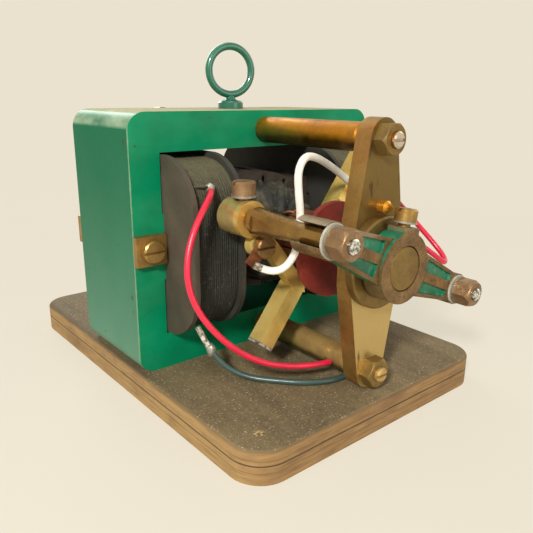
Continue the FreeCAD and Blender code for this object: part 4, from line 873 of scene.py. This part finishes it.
# Solder at the leads' ends: centre and half sizes in metres, and what makes each lump its own
SOLDER = (
    ((-0.0383, -0.0352, 0.0834), (0.0017, 0.0019, 0.0016), 1),
    ((0.0383, -0.0352, 0.0834), (0.0017, 0.0019, 0.0016), 2),
    ((-0.0404, -0.0372, 0.0236), (0.0017, 0.0018, 0.0027), 3),
    ((0.0404, -0.0372, 0.0236), (0.0017, 0.0018, 0.0027), 4),
    ((0.0376, -0.0392, 0.0708), (0.0018, 0.0018, 0.0018), 5),
)

# The right coil's lead-out wire, in millimetres in the row frame, and its radius in metres
LEAD_OUT = ((45.2, -34.0, 83.8), (43.4, -35.1, 84.2), (41.2, -35.6, 84.0), (38.7, -35.6, 83.6))
LEAD_OUT_RADIUS = 0.00045


def row_frame(x, y, z):
    """A route's point in the row frame, in metres."""
    return Vector((x * MM, (y + YOKE_FRONT) * MM, (z + BOARD_TOP) * MM))


def spline_length(obj):
    """The length of a curve's centre line, measured with its bevel off."""
    depth = obj.data.bevel_depth
    obj.data.bevel_depth = 0
    bpy.context.view_layer.update()
    mesh = bpy.data.meshes.new_from_object(obj.evaluated_get(bpy.context.evaluated_depsgraph_get()))
    spots = [v.co for v in mesh.vertices]
    total = sum((spots[a] - spots[b]).length for a, b in (e.vertices for e in mesh.edges))
    bpy.data.meshes.remove(mesh)
    obj.data.bevel_depth = depth
    return total


class MOTOR_OT_leads(bpy.types.Operator):
    """Lays the four insulated leads along their routes and solders their ends"""
    bl_idname = "motor.leads"
    bl_label = "Leads"

    def execute(self, context):
        look = context.scene.motor_look
        for name, points in ROUTES.items():
            width = look.sleeving if name == "white_lead" else look.lead
            curve = bpy.data.curves.new(name + "_line", "CURVE")
            curve.dimensions = "3D"
            curve.resolution_u = 12
            curve.bevel_resolution = 5
            curve.use_fill_caps = True
            spline = curve.splines.new("NURBS")
            spline.points.add(len(points) - 1)
            # A point's own radius counts in the curve's box, so it holds the width and the bevel is 1
            for spot, point in zip(spline.points, points):
                spot.co = (*row_frame(*point), 1)
                spot.radius = width / 2
            spline.order_u = 3
            spline.use_endpoint_u = True
            curve.bevel_depth = 1
            wire = new_piece(name + "_wire", curve, LEAD_LOOK[name], "frame", (name,))
            spline_length(wire)
        ends = [([(Vector((side * x, y, z)) * MM, LEAD_OUT_RADIUS) for x, y, z in LEAD_OUT], 8)
                for side in (-1, 1)]
        new_piece("coil_ends", tube_mesh("coil_ends", ends), "cotton_wire", "frame")
        new_piece("solder_joints", blob_mesh("solder_joints", SOLDER), "solder", "frame")
        return {"FINISHED"}


# Each lamp's name, place in metres, size in metres, power in watts and colour
LAMPS = (
    ("key", (-0.56, -0.40, 0.46), 0.09, 6.4, (1, 0.985, 0.95)),
    ("front", (0.16, -0.80, 0.30), 0.5, 1.6, (1, 0.99, 0.97)),
    ("right", (0.75, -0.10, 0.45), 0.5, 1.2, (1, 0.98, 0.95)),
    ("top", (-0.1, 0.1, 0.9), 0.6, 1.2, (1, 1, 1)),
    ("back", (0.2, 0.85, 0.5), 0.5, 3.4, (1, 1, 1)),
)
FLOOR_RADIUS = 6
FILL_COLOUR, FILL_STRENGTH = (1.0, 0.985, 0.95), 0.22


def lay_floor(scene, tone):
    """A wide disc that keeps the motor's shadow near it and takes the backdrop's colour further out."""
    bm = bmesh.new()
    bmesh.ops.create_circle(bm, cap_ends=True, radius=FLOOR_RADIUS, segments=96)
    mesh = close_mesh(bm, "floor", outward=False, smooth=False)
    floor = bpy.data.objects.new("floor", mesh)
    scene.collection.objects.link(floor)
    p = Paint("floor_paint")
    p.finish(tuple(c * 0.97 for c in tone), 0.9)
    x, y, z = p.place()
    shown = p.seen() * (0.7 + 0.3 * distance(x, y).above(330, 200))
    painted_sheen = p.node("Emission", (tone, 1.0))
    blend = p.node("MixShader", (shown, p.shader.outputs[0], painted_sheen.outputs[0]))
    out = next(n for n in p.tree.nodes if n.type == "OUTPUT_MATERIAL")
    p.feed(out.inputs["Surface"], blend.outputs[0])
    mesh.materials.append(p.mat)


def light_room(scene, tone):
    """A dim fill from all round, the backdrop's colour where it is seen, and five lamps."""
    world = bpy.data.worlds.new("studio")
    scene.world = world
    world.use_nodes = True
    world.node_tree.nodes.clear()
    room = Nodes(world.node_tree)
    fill = room.node("Background", (FILL_COLOUR, FILL_STRENGTH))
    backdrop = room.node("Background", (tone, 1.0))
    blend = room.node("MixShader", (room.seen(), fill.outputs[0], backdrop.outputs[0]))
    room.node("OutputWorld", (blend.outputs[0],))
    for name, place, size, power, colour in LAMPS:
        light = bpy.data.lights.new(name, "AREA")
        light.size = size
        light.energy = power
        light.color = colour
        lamp = bpy.data.objects.new(name, light)
        scene.collection.objects.link(lamp)
        lamp.location = place
        lamp.rotation_euler = (AXIS - Vector(place)).to_track_quat("-Z", "Y").to_euler()


def stand_camera(scene, view):
    """The camera at the photograph's place and angle."""
    camera = bpy.data.cameras.new("camera")
    camera.sensor_width = 36
    camera.lens = view.lens
    camera.clip_start = 0.01
    stand = bpy.data.objects.new("camera", camera)
    scene.collection.objects.link(stand)
    az, el = view.azimuth, view.tilt
    ahead = Vector((math.sin(az) * math.cos(el), math.cos(az) * math.cos(el), -math.sin(el)))
    right = Vector((math.cos(az), -math.sin(az), 0))
    up = right.cross(ahead)
    c, s = math.cos(view.roll), math.sin(view.roll)
    right, up = right * c + up * s, up * c - right * s
    turn = Matrix((right, up, -ahead)).transposed().to_4x4()
    stand.matrix_world = Matrix.Translation(Vector(view.place)) @ turn
    scene.camera = stand


class MOTOR_OT_stage(bpy.types.Operator):
    """Sets out the floor, the lights and the camera"""
    bl_idname = "motor.stage"
    bl_label = "Stage"

    def execute(self, context):
        scene = context.scene
        scene.view_settings.view_transform = "Standard"
        tone = tuple(scene.motor_view.backdrop)
        lay_floor(scene, tone)
        light_room(scene, tone)
        stand_camera(scene, scene.motor_view)
        return {"FINISHED"}


class MOTOR_PT_panel(bpy.types.Panel):
    """Sidebar buttons, one for each group of pieces"""
    bl_label = "Motor"
    bl_space_type = "VIEW_3D"
    bl_region_type = "UI"
    bl_category = "Motor"

    def draw(self, context):
        for group in (context.scene.motor_look, context.scene.motor_view):
            for name in group.__annotations__:
                self.layout.prop(group, name)
        for step in STEPS:
            self.layout.operator(step.bl_idname)


STEPS = (MOTOR_OT_finishes, MOTOR_OT_field_coils, MOTOR_OT_armature_coils, MOTOR_OT_leads, MOTOR_OT_stage)
CLASSES = (Look, View, *STEPS, MOTOR_PT_panel)


def register():
    for item in CLASSES:
        bpy.utils.register_class(item)
    bpy.types.Scene.motor_look = bpy.props.PointerProperty(type=Look)
    bpy.types.Scene.motor_view = bpy.props.PointerProperty(type=View)


def unregister():
    del bpy.types.Scene.motor_view
    del bpy.types.Scene.motor_look
    for item in reversed(CLASSES):
        bpy.utils.unregister_class(item)


def main():
    register()
    for step in STEPS:
        group, action = step.bl_idname.split(".")
        getattr(getattr(bpy.ops, group), action)()


if __name__ == "__main__":
    main()
